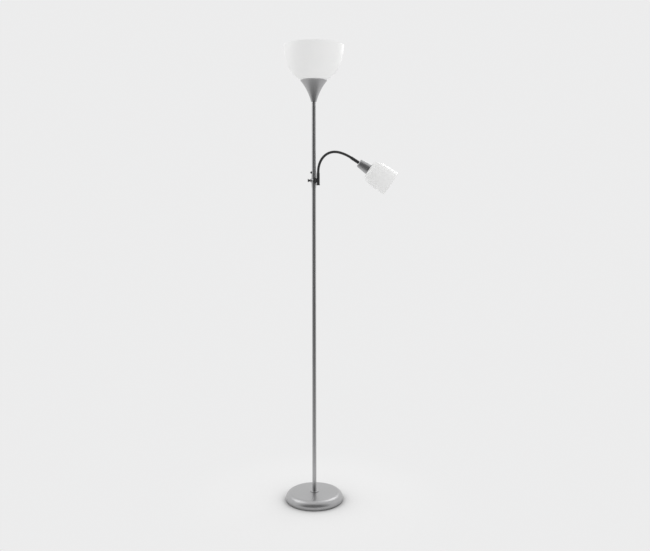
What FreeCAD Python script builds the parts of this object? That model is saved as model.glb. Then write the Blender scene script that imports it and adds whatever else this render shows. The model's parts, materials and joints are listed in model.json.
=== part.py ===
import FreeCAD, Part
import math
import os

# Floor lamp with an upward bowl shade and a reading head on a flexible arm.
# Millimetres. The origin is on the pole's axis at the floor. +Z is up and the reading arm leans to +X.

V = FreeCAD.Vector
UP = V(0, 0, 1)
ALONG_X = V(1, 0, 0)
ALONG_Y = V(0, 1, 0)

# ---- clearances -------------------------------------------------------------------------------
FIT = 0.05                # radial play of a tube or plug in its seat
RUNNING = 0.08            # radial play of a turning or sliding piece
GAP = 0.3                 # play between faces of pieces that move past each other

# ---- foot -------------------------------------------------------------------------------------
BASE_R = 114.5            # widest radius of the foot
BASE_H = 35.0             # floor to the middle of the cover
SHOULDER_R = 24.0         # radius of the cover's rounded shoulder
DOME_RISE = 1.0           # rise of the cover from its shoulder to its middle
COVER_WALL = 1.2
RIM_LIFT = 1.6            # shadow gap under the cover's rim
RIM_TUCK = 1.4            # how far the wall curls in towards its rim
PAD_T = 2.0
PAD_INSET = 2.6           # from the rim of the cover in to the edge of the pad
WEIGHT_PLAY = 0.5         # between the weight and the cover
NUT_POCKET_R = 15.0
NUT_POCKET_H = 21.5
CABLE_CHANNEL_W = 9.0
CABLE_CHANNEL_H = 11.0
GLAND_Z = 8.0
GLAND_R = 4.6
GLAND_FLANGE_R = 5.8
GLAND_FLANGE_T = 1.6
CORD_R = 3.5              # hole left for the supply cord

# ---- fasteners --------------------------------------------------------------------------------
THREAD_R = 5.0            # hollow M10 tube and stud
THREAD_BORE_R = 3.5
NUT_FLATS = 14.0          # across the flats of the M10 nuts
NUT_T = 5.0
WASHER_R = 12.0
WASHER_T = 1.5
STUD_BELOW_NUT = 1.0
STUD_IN_POLE = 16.0

# ---- pole -------------------------------------------------------------------------------------
POLE_R = 8.0
POLE_WALL = 1.0
COLLAR_R = 16.5
COLLAR_H = 2.6
COLLAR_SEAT = 1.2         # depth of the tube's seat in the collar
LOWER_TUBE = 413.7
MIDDLE_TUBE = 415.0
UPPER_TUBE = 425.0
TOP_TUBE = 282.0
INSERT_LEN = 20.0         # threaded plugs in the pole's two ends
COUPLER_LEN = 60.0
COUPLER_WALL = 1.2

# ---- junction: sleeve, switches and the arm's block -------------------------------------------
SLEEVE_R = 9.75
SLEEVE_END_R = 8.4
SLEEVE_BELOW = 44.0       # from the tube joint down to the sleeve's lower end
SLEEVE_ABOVE = 26.0
SLEEVE_TAPER_LOW = 16.0
SLEEVE_TAPER_TOP = 24.0
SWITCH_DROP = 14.7        # rotary switch and arm axis, below the tube joint
BUTTON_RISE = 15.7        # push switch axis, above the tube joint
BUSHING_R = 5.0
BUSHING_OUT = 14.0        # reach of the switch bushing from the pole's axis
SPINDLE_R = 2.0
SPINDLE_GRIP = 1.0        # how far the spindle reaches into the knob
BOSS_START = 3.2          # the boss begins this far from the pole's axis
BOSS_END = 13.6
BOSS_BASE_R = 11.4
BOSS_NOSE_R = 6.9
KNOB_END = 23.6           # far face of the knob from the pole's axis
KNOB_DISC_R = 6.4
KNOB_DISC_T = 2.0
KNOB_WAIST_R = 3.9
KNOB_FLANGE_R = 5.4
SWITCH_DEPTH = 9.0        # the two switch bodies, along X
SWITCH_WIDTH = 9.6
ROTARY_BODY_H = 17.0
PUSH_BODY_H = 13.0
BEZEL_R = 5.1
BEZEL_BARREL_R = 4.2
BEZEL_OUT = 10.6          # face of the bezel from the pole's axis
BOSS_HOLLOW = 0.6         # how far the boss's side curves in between its ends
BUTTON_R = 3.3
BUTTON_BEVEL = 0.8
BUTTON_OUT = 13.4         # face of the button from the pole's axis
BUTTON_TRAVEL = 2.0
BLOCK_R = 12.0            # saddle round the sleeve
BLOCK_H = 20.0
BLOCK_START = 2.6         # the saddle reaches this far past the pole's axis
BLOCK_NECK_W = 12.0
BLOCK_NOTCH_R = 2.2
ARM_X = 16.7              # axis of the upright stub
SCREW_R = 3.5
SCREW_BORE_R = 2.2
SCREW_HEAD_R = 4.6
SCREW_HEAD_T = 1.2
STUB_R = 5.65
STUB_WALL = 1.0
STUB_BELOW = 13.9         # from the arm's axis down to the end of the stub
END_CAP_R = 6.3
END_CAP_T = 4.4
END_CAP_PLUG = 4.0

# ---- gooseneck --------------------------------------------------------------------------------
NECK_R = 4.95
NECK_FOOT_RISE = 32.4     # first ball centre above the switch axis
LINK_LEN = 22.4           # length of one link along the bend
LINK_TURNS = (12, 16, 19, 22, 23, 15, 8, 8)   # degrees that each link turns down at rest
RIBS_PER_LINK = 5
RIB_DEPTH = 0.45
RIB_STEPS = ((0, 0), (0.25, 1), (0.7, 1), (0.95, 0))   # share of the pitch, share of the depth
RIB_RUN_IN = 1.0          # the first valley begins this far inside the socket
BALL_R = 3.6
LIP = 1.4                 # how far a socket reaches back past the ball's centre
SHOULDER_BACK = 3.2       # from the ball's centre back to the shoulder behind it
SOCKET_LEN = 4.4
BALL_NECK_R = 2.4
WIRE_BORE_R = 1.5
WIRE_STATIONS = 4         # stretches of the wire's hole in one link
ROOT_PLUG_LEN = 10.0

# ---- reading head, measured along its axis from the last ball ----------------------------------
FERRULE_R = 6.1
FERRULE_LEN = 30.6
HEAD_THREAD_R = 4.0
HEAD_THREAD_BORE_R = 2.6
HEAD_NUT_FLATS = 11.0
HEAD_NUT_T = 3.2
CAP_LEN = 45.8
CAP_BACK_R = 16.6
CAP_FRONT_R = 21.4
CAP_BEVEL = 5.0
CAP_BEVEL_LEAN = 10       # degrees, slope where the bevel leaves the flat back
CAP_WALL = 1.2
E14_BODY_R = 13.2
E14_SKIRT_R = 13.9
E14_BORE_R = 10.4
E14_DEPTH = 22.0          # from the shade seat back to the socket's floor
E14_SKIRT_LEN = 10.0
E14_FLANGE_R = 17.5
E14_FLANGE_T = 2.6
E14_FOOT_T = 7.8          # thickness of the holder behind the socket
READING_SHADE_LEN = 100.4
READING_SHADE_R = 49.0
READING_BACK_R = 26.0     # flat of the shade's closed end
READING_BACK_LEAN = 20    # degrees, slope where the flat rounds into the shoulder
READING_SHOULDER = (7.5, 14.0)   # in from the rim's radius, along from the seat
READING_SHOULDER_LEAN = 64
READING_WAIST = (1.2, 38.0)
READING_WAIST_LEAN = 86.6
READING_WALL = 2.0
READING_RING_R = 19.5
READING_RING_H = 7.0
READING_RING_EDGE = 2.0   # height of the ring's upright edge, and its taper's run
P45_R = 22.5              # small globe bulb
P45_LEN = 78.0
P45_JOIN = -50            # degrees on the globe where its neck leaves it
E14_CAP_R = 7.0
E14_CAP_LEN = 25.0
E14_TIP_R = 3.5
BULB_TIP_H = 1.5          # contact at the foot of a bulb's screw cap
P45_NECK_OVER = 0.5       # the glass is this much wider than the screw cap it leaves

# ---- uplighter --------------------------------------------------------------------------------
CUP_H = 79.0
CUP_FOOT_R = 10.5
CUP_MID_R = 24.6
CUP_MID_RISE = 38.7       # height of that radius above the cup's foot
CUP_R = 50.4
CUP_WALL = 1.0
CUP_FLOOR_T = 1.5
CUP_HEM = 1.6             # folded edge of the cup
SEAT_DROP = 9.4           # bowl's underside below the cup's edge
HOLDER_FOOT_RISE = 28.0   # foot of the lampholder above the cup's floor
E27_BODY_R = 17.0
E27_FOOT_R = 10.5
E27_FOOT_LEAN = 20        # degrees, slope where the holder's foot begins to round
E27_FOOT_RISE = 9.5       # height of that rounding
E27_SKIRT_R = 19.6
E27_BORE_R = 15.0
E27_DEPTH = 24.0          # from the bowl's seat down to the socket's floor
E27_SKIRT_LEN = 16.0
E27_FLANGE_R = 25.0
E27_FLANGE_T = 3.0
NIPPLE_IN_HOLDER = 9.0
RING_R = 28.5
RING_H = 10.0
RING_EDGE = 3.0           # height of the ring's upright edge
RING_TAPER = 4.0
BOWL_RISE = 128.9         # cup's edge to the bowl's rim
BOWL_R = 114.8
BOWL_WALL = 2.2
BOWL_FLOOR_R = 38.0
BOWL_LIP_RISE = 0.4       # the bowl leaves the cup this far above its edge
BOWL_LIP_LEAN = 45        # degrees from level of the wall's inward normal there
BOWL_SIDE = (34.8, 26.6)  # in from the rim's radius, up from the cup's edge
BOWL_SIDE_LEAN = 41
BOWL_BELLY = (13.2, 62.5)
BOWL_BELLY_LEAN = 24
BOWL_RIM_LEAN = 264       # degrees, slope of the side at the rim, heading down
A60_R = 30.0              # common globe bulb
A60_LEN = 108.0
A60_JOIN = -42
E27_CAP_R = 13.0
E27_CAP_LEN = 26.0
E27_TIP_R = 6.0
A60_NECK_OVER = 0.3
LEAD_R = 2.5

# ---- places that follow from the sizes ---------------------------------------------------------
TUBE_FOOT_Z = BASE_H + COLLAR_H - COLLAR_SEAT
LOWER_JOINT_Z = TUBE_FOOT_Z + LOWER_TUBE
MIDDLE_JOINT_Z = LOWER_JOINT_Z + MIDDLE_TUBE
SLEEVE_JOINT_Z = MIDDLE_JOINT_Z + UPPER_TUBE
POLE_TOP_Z = SLEEVE_JOINT_Z + TOP_TUBE
POLE_BORE_R = POLE_R - POLE_WALL
SWITCH_Z = SLEEVE_JOINT_Z - SWITCH_DROP
BUTTON_Z = SLEEVE_JOINT_Z + BUTTON_RISE
NECK_FOOT_Z = SWITCH_Z + NECK_FOOT_RISE
CAP_Z = FERRULE_LEN + HEAD_NUT_T + GAP                  # along the head
READING_SEAT_Z = CAP_Z + CAP_LEN + GAP                  # along the head
CUP_EDGE_Z = POLE_TOP_Z + CUP_H
CUP_FLOOR_Z = POLE_TOP_Z + CUP_FLOOR_T
BOWL_SEAT_Z = CUP_EDGE_Z - SEAT_DROP
HOLDER_FOOT_Z = CUP_FLOOR_Z + HOLDER_FOOT_RISE
NUT_TOP_Z = PAD_T + NUT_POCKET_H - WASHER_T
SOCKET_R = BALL_R + RUNNING


# ---- helpers ----------------------------------------------------------------------------------
def arc_middle(start, heading, end):
    """Middle point of the arc that leaves start along heading (degrees) and ends at end."""
    across = end[0] - start[0]
    rise = end[1] - start[1]
    half_turn = math.atan2(rise, across) - math.radians(heading)
    half_turn = math.atan2(math.sin(half_turn), math.cos(half_turn))
    reach = math.hypot(across, rise) / (2 * math.cos(half_turn / 2))
    middle_heading = math.radians(heading) + half_turn / 2
    return (start[0] + reach * math.cos(middle_heading), start[1] + reach * math.sin(middle_heading))


def round_middle(centre, radius, degrees):
    """Point on a circle of a profile, at an angle from the +radius direction."""
    angle = math.radians(degrees)
    return (centre[0] + radius * math.cos(angle), centre[1] + radius * math.sin(angle))


def offset(thickness, lean):
    """Inward and upward parts of a wall's thickness, its normal rising by lean degrees."""
    angle = math.radians(lean)
    return (thickness * math.cos(angle), thickness * math.sin(angle))


def profile_edges(start, steps):
    """Edges in the XZ plane. A step (r, z) is straight, and ((rm, zm), (r, z)) is an arc through rm, zm."""
    edges = []
    here = V(start[0], 0, start[1])
    for step in steps:
        if isinstance(step[0], tuple):
            middle = V(step[0][0], 0, step[0][1])
            there = V(step[1][0], 0, step[1][1])
            edges.append(Part.Arc(here, middle, there).toShape())
        else:
            there = V(step[0], 0, step[1])
            edges.append(Part.LineSegment(here, there).toShape())
        here = there
    return edges


def turned(start, *steps):
    """Solid of revolution about Z of a closed profile of (radius, height) steps."""
    face = Part.Face(Part.Wire(profile_edges(start, steps + (start,))))
    return face.revolve(V(0, 0, 0), UP, 360)


def rod(radius, low, high):
    return Part.makeCylinder(radius, high - low, V(0, 0, low))


def tube(outer, inner, low, high):
    return rod(outer, low, high).cut(rod(inner, low - 1, high + 1))


def rod_x(radius, low, high, z):
    return Part.makeCylinder(radius, high - low, V(low, 0, z), ALONG_X)


def block(x0, x1, y0, y1, z0, z1):
    return Part.makeBox(x1 - x0, y1 - y0, z1 - z0, V(x0, y0, z0))


def hex_nut(flats, bore, low, high):
    corner = flats / math.sqrt(3)
    points = [V(corner * math.cos(math.radians(60 * k)), corner * math.sin(math.radians(60 * k)), low)
              for k in range(7)]
    prism = Part.Face(Part.makePolygon(points)).extrude(V(0, 0, high - low))
    return prism.cut(rod(bore, low - 1, high + 1))


def to_minus_x(shape, z):
    """Turns a piece made along +Z so that its +Z points to -X, at height z."""
    moved = shape.copy()
    moved.rotate(V(0, 0, 0), ALONG_Y, -90)
    moved.translate(V(0, 0, z))
    return moved


# ---- foot -------------------------------------------------------------------------------------
def cover_outline(inset):
    """Steps of the cover's profile from its middle to its rim, moved in by inset."""
    plateau = BASE_R - SHOULDER_R
    plateau_z = BASE_H - DOME_RISE
    centre = (plateau, plateau_z - SHOULDER_R)
    radius = SHOULDER_R - inset
    wall_top = (plateau + radius, centre[1])
    rim = (BASE_R - RIM_TUCK - inset, RIM_LIFT)
    dome_edge = (plateau, plateau_z - inset)
    return (
        dome_edge,
        (round_middle(centre, radius, 45), wall_top),
        (arc_middle(wall_top, -90, rim), rim),
    )


def cover_body(inset):
    """Solid of the cover's shape moved in by inset, open downwards at the rim's height."""
    steps = cover_outline(inset)
    return turned((0, BASE_H - inset), *steps, (0, RIM_LIFT))


def base_cover():
    shell = cover_body(0).cut(cover_body(COVER_WALL))
    shell = shell.cut(rod(THREAD_R + FIT, 0, BASE_H + 1))
    return shell.cut(Part.makeCylinder(GLAND_R + FIT, SHOULDER_R, V(0, BASE_R - SHOULDER_R, GLAND_Z), ALONG_Y))


def base_weight():
    inset = COVER_WALL + WEIGHT_PLAY
    fill = cover_body(inset).common(rod(BASE_R - RIM_TUCK - inset - WEIGHT_PLAY, PAD_T, BASE_H))
    fill = fill.cut(rod(THREAD_R + FIT, 0, BASE_H))
    fill = fill.cut(rod(NUT_POCKET_R, 0, PAD_T + NUT_POCKET_H))
    half = CABLE_CHANNEL_W / 2
    return fill.cut(block(-half, half, 0, BASE_R, 0, PAD_T + CABLE_CHANNEL_H))


def base_pad():
    return tube(BASE_R - RIM_TUCK - PAD_INSET, NUT_POCKET_R, 0, PAD_T)


def base_washer():
    return tube(WASHER_R, THREAD_R + FIT, NUT_TOP_Z, NUT_TOP_Z + WASHER_T)


def base_nut():
    return hex_nut(NUT_FLATS, THREAD_R + FIT, NUT_TOP_Z - NUT_T, NUT_TOP_Z)


def base_stud():
    return tube(THREAD_R, THREAD_BORE_R, NUT_TOP_Z - NUT_T - STUD_BELOW_NUT, TUBE_FOOT_Z + STUD_IN_POLE)


def cable_gland():
    wall = BASE_R - RIM_TUCK
    inner = wall - COVER_WALL - GLAND_FLANGE_T
    length = BASE_R + GLAND_FLANGE_T - inner
    barrel = Part.makeCylinder(GLAND_R, length, V(0, inner, GLAND_Z), ALONG_Y)
    flange = Part.makeCylinder(GLAND_FLANGE_R, GLAND_FLANGE_T, V(0, BASE_R + FIT, GLAND_Z), ALONG_Y)
    bore = Part.makeCylinder(CORD_R, length + 2, V(0, inner - 1, GLAND_Z), ALONG_Y)
    return barrel.fuse(flange).removeSplitter().cut(bore)


def pole_collar():
    top = BASE_H + COLLAR_H
    edge = COLLAR_H / 2
    shape = turned(
        (THREAD_R + FIT, BASE_H),
        (COLLAR_R, BASE_H),
        (round_middle((COLLAR_R - edge, BASE_H + edge), edge, 45), (COLLAR_R - edge, top)),
        (POLE_R + FIT, top),
        (POLE_R + FIT, top - COLLAR_SEAT),
        (THREAD_R + FIT, top - COLLAR_SEAT),
    )
    return shape


# ---- pole -------------------------------------------------------------------------------------
def pole_foot_insert():
    return tube(POLE_BORE_R - FIT, THREAD_R + FIT, TUBE_FOOT_Z, TUBE_FOOT_Z + INSERT_LEN)


def pole_lower_tube():
    return tube(POLE_R, POLE_BORE_R, TUBE_FOOT_Z, LOWER_JOINT_Z)


def pole_middle_tube():
    return tube(POLE_R, POLE_BORE_R, LOWER_JOINT_Z, MIDDLE_JOINT_Z)


def pole_coupler(joint_z):
    outer = POLE_BORE_R - FIT
    return tube(outer, outer - COUPLER_WALL, joint_z - COUPLER_LEN / 2, joint_z + COUPLER_LEN / 2)


def pole_coupler_lower():
    return pole_coupler(LOWER_JOINT_Z)


def pole_coupler_upper():
    return pole_coupler(MIDDLE_JOINT_Z)


def cross_holes():
    """Drillings through the sleeve and the tubes for the two switches and the arm's screw."""
    bushing = rod_x(BUSHING_R + FIT, -BLOCK_R - 1, 0, SWITCH_Z)
    screw = rod_x(SCREW_R + FIT, 0, BLOCK_R + 1, SWITCH_Z)
    bezel = rod_x(BEZEL_BARREL_R + FIT, -BLOCK_R - 1, 0, BUTTON_Z)
    return bushing.fuse([screw, bezel])


def pole_upper_tube():
    return tube(POLE_R, POLE_BORE_R, MIDDLE_JOINT_Z, SLEEVE_JOINT_Z).cut(cross_holes())


def pole_top_tube():
    return tube(POLE_R, POLE_BORE_R, SLEEVE_JOINT_Z, POLE_TOP_Z).cut(cross_holes())


def pole_top_plug():
    return tube(POLE_BORE_R - FIT, THREAD_R + FIT, POLE_TOP_Z - INSERT_LEN, POLE_TOP_Z)


# ---- junction ---------------------------------------------------------------------------------
def junction_sleeve():
    low = SLEEVE_JOINT_Z - SLEEVE_BELOW
    high = SLEEVE_JOINT_Z + SLEEVE_ABOVE
    shape = turned(
        (POLE_R + FIT, low),
        (SLEEVE_END_R, low),
        (SLEEVE_R, low + SLEEVE_TAPER_LOW),
        (SLEEVE_R, high - SLEEVE_TAPER_TOP),
        (SLEEVE_END_R, high),
        (POLE_R + FIT, high),
    )
    return shape.cut(cross_holes())


def switch_boss():
    middle = (BOSS_START + BOSS_END) / 2
    middle_r = (BOSS_BASE_R + BOSS_NOSE_R) / 2 - BOSS_HOLLOW
    cone = turned(
        (BUSHING_R + FIT, BOSS_START),
        (BOSS_BASE_R, BOSS_START),
        ((middle_r, middle), (BOSS_NOSE_R, BOSS_END)),
        (BUSHING_R + FIT, BOSS_END),
    )
    return to_minus_x(cone, SWITCH_Z).cut(rod(SLEEVE_R + FIT, SWITCH_Z - BLOCK_H, SWITCH_Z + BLOCK_H))


def rotary_switch_body():
    half_x = SWITCH_DEPTH / 2
    half_y = SWITCH_WIDTH / 2
    half_z = ROTARY_BODY_H / 2
    box = block(-half_x, half_x, -half_y, half_y, SWITCH_Z - half_z, SWITCH_Z + half_z)
    box = box.cut(rod_x(SCREW_HEAD_R + FIT, half_x - SCREW_HEAD_T, half_x + 1, SWITCH_Z))
    return box.cut(rod_x(SPINDLE_R + RUNNING, -half_x - 1, 0, SWITCH_Z))


def switch_bushing():
    return to_minus_x(tube(BUSHING_R, SPINDLE_R + RUNNING, SWITCH_DEPTH / 2, BUSHING_OUT), SWITCH_Z)


def rotary_knob():
    inner = BUSHING_OUT + GAP
    disc = KNOB_END - KNOB_DISC_T
    waist_z = (inner + disc) / 2
    knob = turned(
        (0, inner + SPINDLE_GRIP),
        (SPINDLE_R, inner + SPINDLE_GRIP),
        (SPINDLE_R, inner),
        (KNOB_FLANGE_R, inner),
        ((KNOB_WAIST_R, waist_z), (KNOB_DISC_R, disc)),
        (KNOB_DISC_R, KNOB_END),
        (0, KNOB_END),
    )
    return to_minus_x(knob, SWITCH_Z)


def knob_spindle():
    return to_minus_x(rod(SPINDLE_R, GAP, BUSHING_OUT + GAP + SPINDLE_GRIP), SWITCH_Z)


def push_switch_body():
    half_x = SWITCH_DEPTH / 2
    half_y = SWITCH_WIDTH / 2
    half_z = PUSH_BODY_H / 2
    box = block(-half_x, half_x, -half_y, half_y, BUTTON_Z - half_z, BUTTON_Z + half_z)
    return box.cut(rod_x(SPINDLE_R + RUNNING, -half_x - 1, 0, BUTTON_Z))


def button_bezel():
    flange_start = SLEEVE_R + GAP
    shape = turned(
        (BUTTON_R + RUNNING, SWITCH_DEPTH / 2),
        (BEZEL_BARREL_R, SWITCH_DEPTH / 2),
        (BEZEL_BARREL_R, flange_start),
        (BEZEL_R, flange_start),
        (BEZEL_R, BEZEL_OUT),
        (BUTTON_R + RUNNING, BEZEL_OUT),
    )
    return to_minus_x(shape, BUTTON_Z)


def push_button():
    shape = turned(
        (0, BUTTON_TRAVEL + GAP),
        (SPINDLE_R, BUTTON_TRAVEL + GAP),
        (SPINDLE_R, SWITCH_DEPTH / 2 + BUTTON_TRAVEL + GAP),
        (BUTTON_R, SWITCH_DEPTH / 2 + BUTTON_TRAVEL + GAP),
        (BUTTON_R, BUTTON_OUT - BUTTON_BEVEL),
        (BUTTON_R - BUTTON_BEVEL, BUTTON_OUT),
        (0, BUTTON_OUT),
    )
    return to_minus_x(shape, BUTTON_Z)


def arm_block():
    low = SWITCH_Z - BLOCK_H / 2
    high = SWITCH_Z + BLOCK_H / 2
    half = BLOCK_NECK_W / 2
    ring = rod(BLOCK_R, low, high).common(block(-BLOCK_START, BLOCK_R, -BLOCK_R, BLOCK_R, low, high))
    shape = ring.fuse(block(0, ARM_X, -half, half, low, high)).removeSplitter()
    notch_x = ARM_X - STUB_R
    for z in (low, high):
        shape = shape.cut(Part.makeCylinder(BLOCK_NOTCH_R, 2 * BLOCK_R, V(notch_x, -BLOCK_R, z), ALONG_Y))
    shape = shape.cut(rod(SLEEVE_R + FIT, low - 1, high + 1))
    stub_seat = rod(STUB_R + FIT, low - 1, high + 1)
    stub_seat.translate(V(ARM_X, 0, 0))
    shape = shape.cut(stub_seat)
    return shape.cut(rod_x(SCREW_R + FIT, 0, ARM_X, SWITCH_Z))


def arm_hollow_screw():
    head_x = SWITCH_DEPTH / 2 - SCREW_HEAD_T + FIT
    length = rod_x(SCREW_R, head_x, ARM_X - STUB_R + 2 * STUB_WALL, SWITCH_Z)
    head = rod_x(SCREW_HEAD_R, head_x, head_x + SCREW_HEAD_T, SWITCH_Z)
    return length.fuse(head).removeSplitter().cut(rod_x(SCREW_BORE_R, 0, ARM_X, SWITCH_Z))


def at_stub(shape):
    moved = shape.copy()
    moved.translate(V(ARM_X, 0, 0))
    return moved


def arm_stub():
    pipe = at_stub(tube(STUB_R, STUB_R - STUB_WALL, SWITCH_Z - STUB_BELOW, NECK_FOOT_Z - SHOULDER_BACK))
    return pipe.cut(rod_x(SCREW_R + FIT, 0, ARM_X, SWITCH_Z))


def stub_end_cap():
    top = SWITCH_Z - STUB_BELOW
    disc = rod(END_CAP_R, top - END_CAP_T, top)
    plug = rod(STUB_R - STUB_WALL - FIT, top, top + END_CAP_PLUG)
    return at_stub(disc.fuse(plug).removeSplitter())


# ---- gooseneck --------------------------------------------------------------------------------
def arm_place(length):
    """Placement on the arm's centre line at a length from the first ball, +Z along the arm."""
    here = V(ARM_X, 0, NECK_FOOT_Z)
    heading = 90.0
    for turn in LINK_TURNS:
        if length <= 0:
            break
        run = min(length, LINK_LEN)
        swing = math.radians(turn * run / LINK_LEN)
        radius = LINK_LEN / math.radians(turn)
        chord = 2 * radius * math.sin(swing / 2)
        middle = math.radians(heading) - swing / 2
        here = here + V(chord * math.cos(middle), 0, chord * math.sin(middle))
        heading = heading - math.degrees(swing)
        length = length - run
    forward = V(math.cos(math.radians(heading)), 0, math.sin(math.radians(heading)))
    return FreeCAD.Placement(here + forward * length, FreeCAD.Rotation(ALONG_Y, 90 - heading))


def ring_on_arm(length, radius):
    circle = Part.makeCircle(radius)
    circle.Placement = arm_place(length)
    return Part.Wire([circle])


def on_arm(shape, length):
    """Sets a piece made along +Z on the arm, its origin at a length from the first ball."""
    moved = shape.copy()
    moved.Placement = arm_place(length).multiply(moved.Placement)
    return moved


def ball_end():
    """Ball at the origin with its neck reaching back past the shoulder."""
    neck = rod(BALL_NECK_R, -SHOULDER_BACK - 1, 0)
    return Part.makeSphere(BALL_R).fuse(neck)


def neck_link(number):
    """One stretch of the flexible tube: a socket, a ribbed bend and the ball for the next one."""
    start = number * LINK_LEN
    end = start + LINK_LEN
    rib_start = start + SOCKET_LEN
    rib_end = end - SHOULDER_BACK
    pitch = (rib_end - rib_start) / RIBS_PER_LINK
    valley_r = NECK_R - RIB_DEPTH
    rings = [ring_on_arm(rib_start - RIB_RUN_IN, valley_r)]
    for k in range(RIBS_PER_LINK):
        for along, height in RIB_STEPS:
            rings.append(ring_on_arm(rib_start + (k + along) * pitch, valley_r + height * RIB_DEPTH))
    ribbed = Part.makeLoft(rings, True, True)
    socket = on_arm(rod(NECK_R, -LIP, SOCKET_LEN), start)
    link = ribbed.fuse([socket, on_arm(ball_end(), end)])
    link = link.cut(on_arm(Part.makeSphere(SOCKET_R), start))
    stations = [start + LINK_LEN * k / WIRE_STATIONS for k in range(WIRE_STATIONS + 1)]
    wire = [ring_on_arm(start - LIP, WIRE_BORE_R)]
    wire = wire + [ring_on_arm(s, WIRE_BORE_R) for s in stations]
    wire.append(ring_on_arm(end + 2 * BALL_R, WIRE_BORE_R))
    return link.cut(Part.makeLoft(wire, True, True))


def neck_root_ball():
    """Plug in the mouth of the stub that carries the first ball."""
    plug = rod(STUB_R - STUB_WALL - FIT, -SHOULDER_BACK - ROOT_PLUG_LEN, -SHOULDER_BACK)
    return on_arm(ball_end().fuse(plug).cut(rod(WIRE_BORE_R, -SHOULDER_BACK - ROOT_PLUG_LEN - 1, BALL_R + 1)), 0)


# ---- reading head -----------------------------------------------------------------------------
def on_head(shape):
    return on_arm(shape, LINK_LEN * len(LINK_TURNS))


def head_ferrule():
    shape = turned(
        (0, -LIP),
        (NECK_R, -LIP),
        (FERRULE_R, LIP),
        (FERRULE_R, FERRULE_LEN),
        (0, FERRULE_LEN),
    )
    shape = shape.cut(Part.makeSphere(SOCKET_R))
    shape = shape.cut(rod(WIRE_BORE_R, 0, FERRULE_LEN))
    return on_head(shape.cut(rod(HEAD_THREAD_R + FIT, FERRULE_LEN / 2, FERRULE_LEN + 1)))


def head_nipple():
    top = READING_SEAT_Z - E14_DEPTH - CAP_WALL - FIT
    return on_head(tube(HEAD_THREAD_R, HEAD_THREAD_BORE_R, FERRULE_LEN / 2 + FIT, top))


def head_lock_nut():
    low = FERRULE_LEN + GAP / 2
    return on_head(hex_nut(HEAD_NUT_FLATS, HEAD_THREAD_R + FIT, low, low + HEAD_NUT_T))


def cap_body(inset):
    back = CAP_Z + inset
    front = CAP_Z + CAP_LEN
    return turned(
        (0, back),
        (CAP_BACK_R - CAP_BEVEL, back),
        (arc_middle((CAP_BACK_R - CAP_BEVEL, back), CAP_BEVEL_LEAN, (CAP_BACK_R - inset, back + CAP_BEVEL)),
         (CAP_BACK_R - inset, back + CAP_BEVEL)),
        (CAP_FRONT_R - inset, front),
        (0, front),
    )


def reading_cap():
    shell = cap_body(0).cut(cap_body(CAP_WALL))
    return on_head(shell.cut(rod(HEAD_THREAD_R + FIT, 0, CAP_Z + CAP_BEVEL)))


def reading_holder():
    seat = READING_SEAT_Z
    floor = seat - E14_DEPTH
    foot = floor - E14_FOOT_T
    shape = turned(
        (0, foot),
        (E14_BODY_R - E14_FLANGE_T, foot),
        (E14_BODY_R, foot + E14_FLANGE_T),
        (E14_BODY_R, seat - E14_FLANGE_T),
        (E14_FLANGE_R, seat - E14_FLANGE_T),
        (E14_FLANGE_R, seat),
        (E14_SKIRT_R, seat),
        (E14_SKIRT_R, seat + E14_SKIRT_LEN),
        (E14_BORE_R, seat + E14_SKIRT_LEN),
        (E14_BORE_R, floor),
        (0, floor),
    )
    return on_head(shape.cut(rod(HEAD_THREAD_R + FIT, foot - 1, floor - CAP_WALL)))


def reading_shade():
    """Bell of even wall: a flat closed end, a round shoulder and nearly straight sides."""
    def bell(inset):
        seat = READING_SEAT_Z + inset
        shoulder = (READING_SHADE_R - READING_SHOULDER[0] - inset, READING_SEAT_Z + READING_SHOULDER[1])
        waist = (READING_SHADE_R - READING_WAIST[0] - inset, READING_SEAT_Z + READING_WAIST[1])
        rim = (READING_SHADE_R - inset, READING_SEAT_Z + READING_SHADE_LEN)
        flat = (READING_BACK_R - inset / 2, seat)
        return turned(
            (0, seat),
            flat,
            (arc_middle(flat, READING_BACK_LEAN, shoulder), shoulder),
            (arc_middle(shoulder, READING_SHOULDER_LEAN, waist), waist),
            (arc_middle(waist, READING_WAIST_LEAN, rim), rim),
            (0, rim[1]),
        )
    hole = rod(E14_SKIRT_R + FIT, READING_SEAT_Z - 1, READING_SEAT_Z + READING_WALL + 1)
    return on_head(bell(0).cut(bell(READING_WALL)).cut(hole))


def reading_shade_ring():
    low = READING_SEAT_Z + READING_WALL
    return on_head(turned(
        (E14_SKIRT_R + FIT, low),
        (READING_RING_R, low),
        (READING_RING_R, low + READING_RING_EDGE),
        (READING_RING_R - READING_RING_EDGE, low + READING_RING_H),
        (E14_SKIRT_R + FIT, low + READING_RING_H),
    ))


def bulb_cap(radius, length, tip_r):
    """Screw cap of a bulb standing on its contact at height zero."""
    return turned(
        (0, 0),
        (tip_r, 0),
        (tip_r, BULB_TIP_H),
        (radius, tip_r),
        (radius, length),
        (0, length),
    )


def bulb_glass(neck_r, globe_r, low, total, join_angle):
    """Glass of a bulb: a flared neck, tangent at join_angle to the globe that ends at the total length."""
    centre = total - globe_r
    join = round_middle((0, centre), globe_r, join_angle)
    neck = (neck_r, low)
    return turned(
        (0, low),
        neck,
        (arc_middle(join, join_angle - 90, neck), join),
        (round_middle((0, centre), globe_r, (join_angle + 90) / 2), (0, total)),
    )


def reading_bulb_cap():
    cap = bulb_cap(E14_CAP_R, E14_CAP_LEN, E14_TIP_R)
    cap.translate(V(0, 0, READING_SEAT_Z - E14_DEPTH))
    return on_head(cap)


def reading_bulb_glass():
    glass = bulb_glass(E14_CAP_R + P45_NECK_OVER, P45_R, E14_CAP_LEN, P45_LEN, P45_JOIN)
    glass.translate(V(0, 0, READING_SEAT_Z - E14_DEPTH))
    return on_head(glass)


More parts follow.
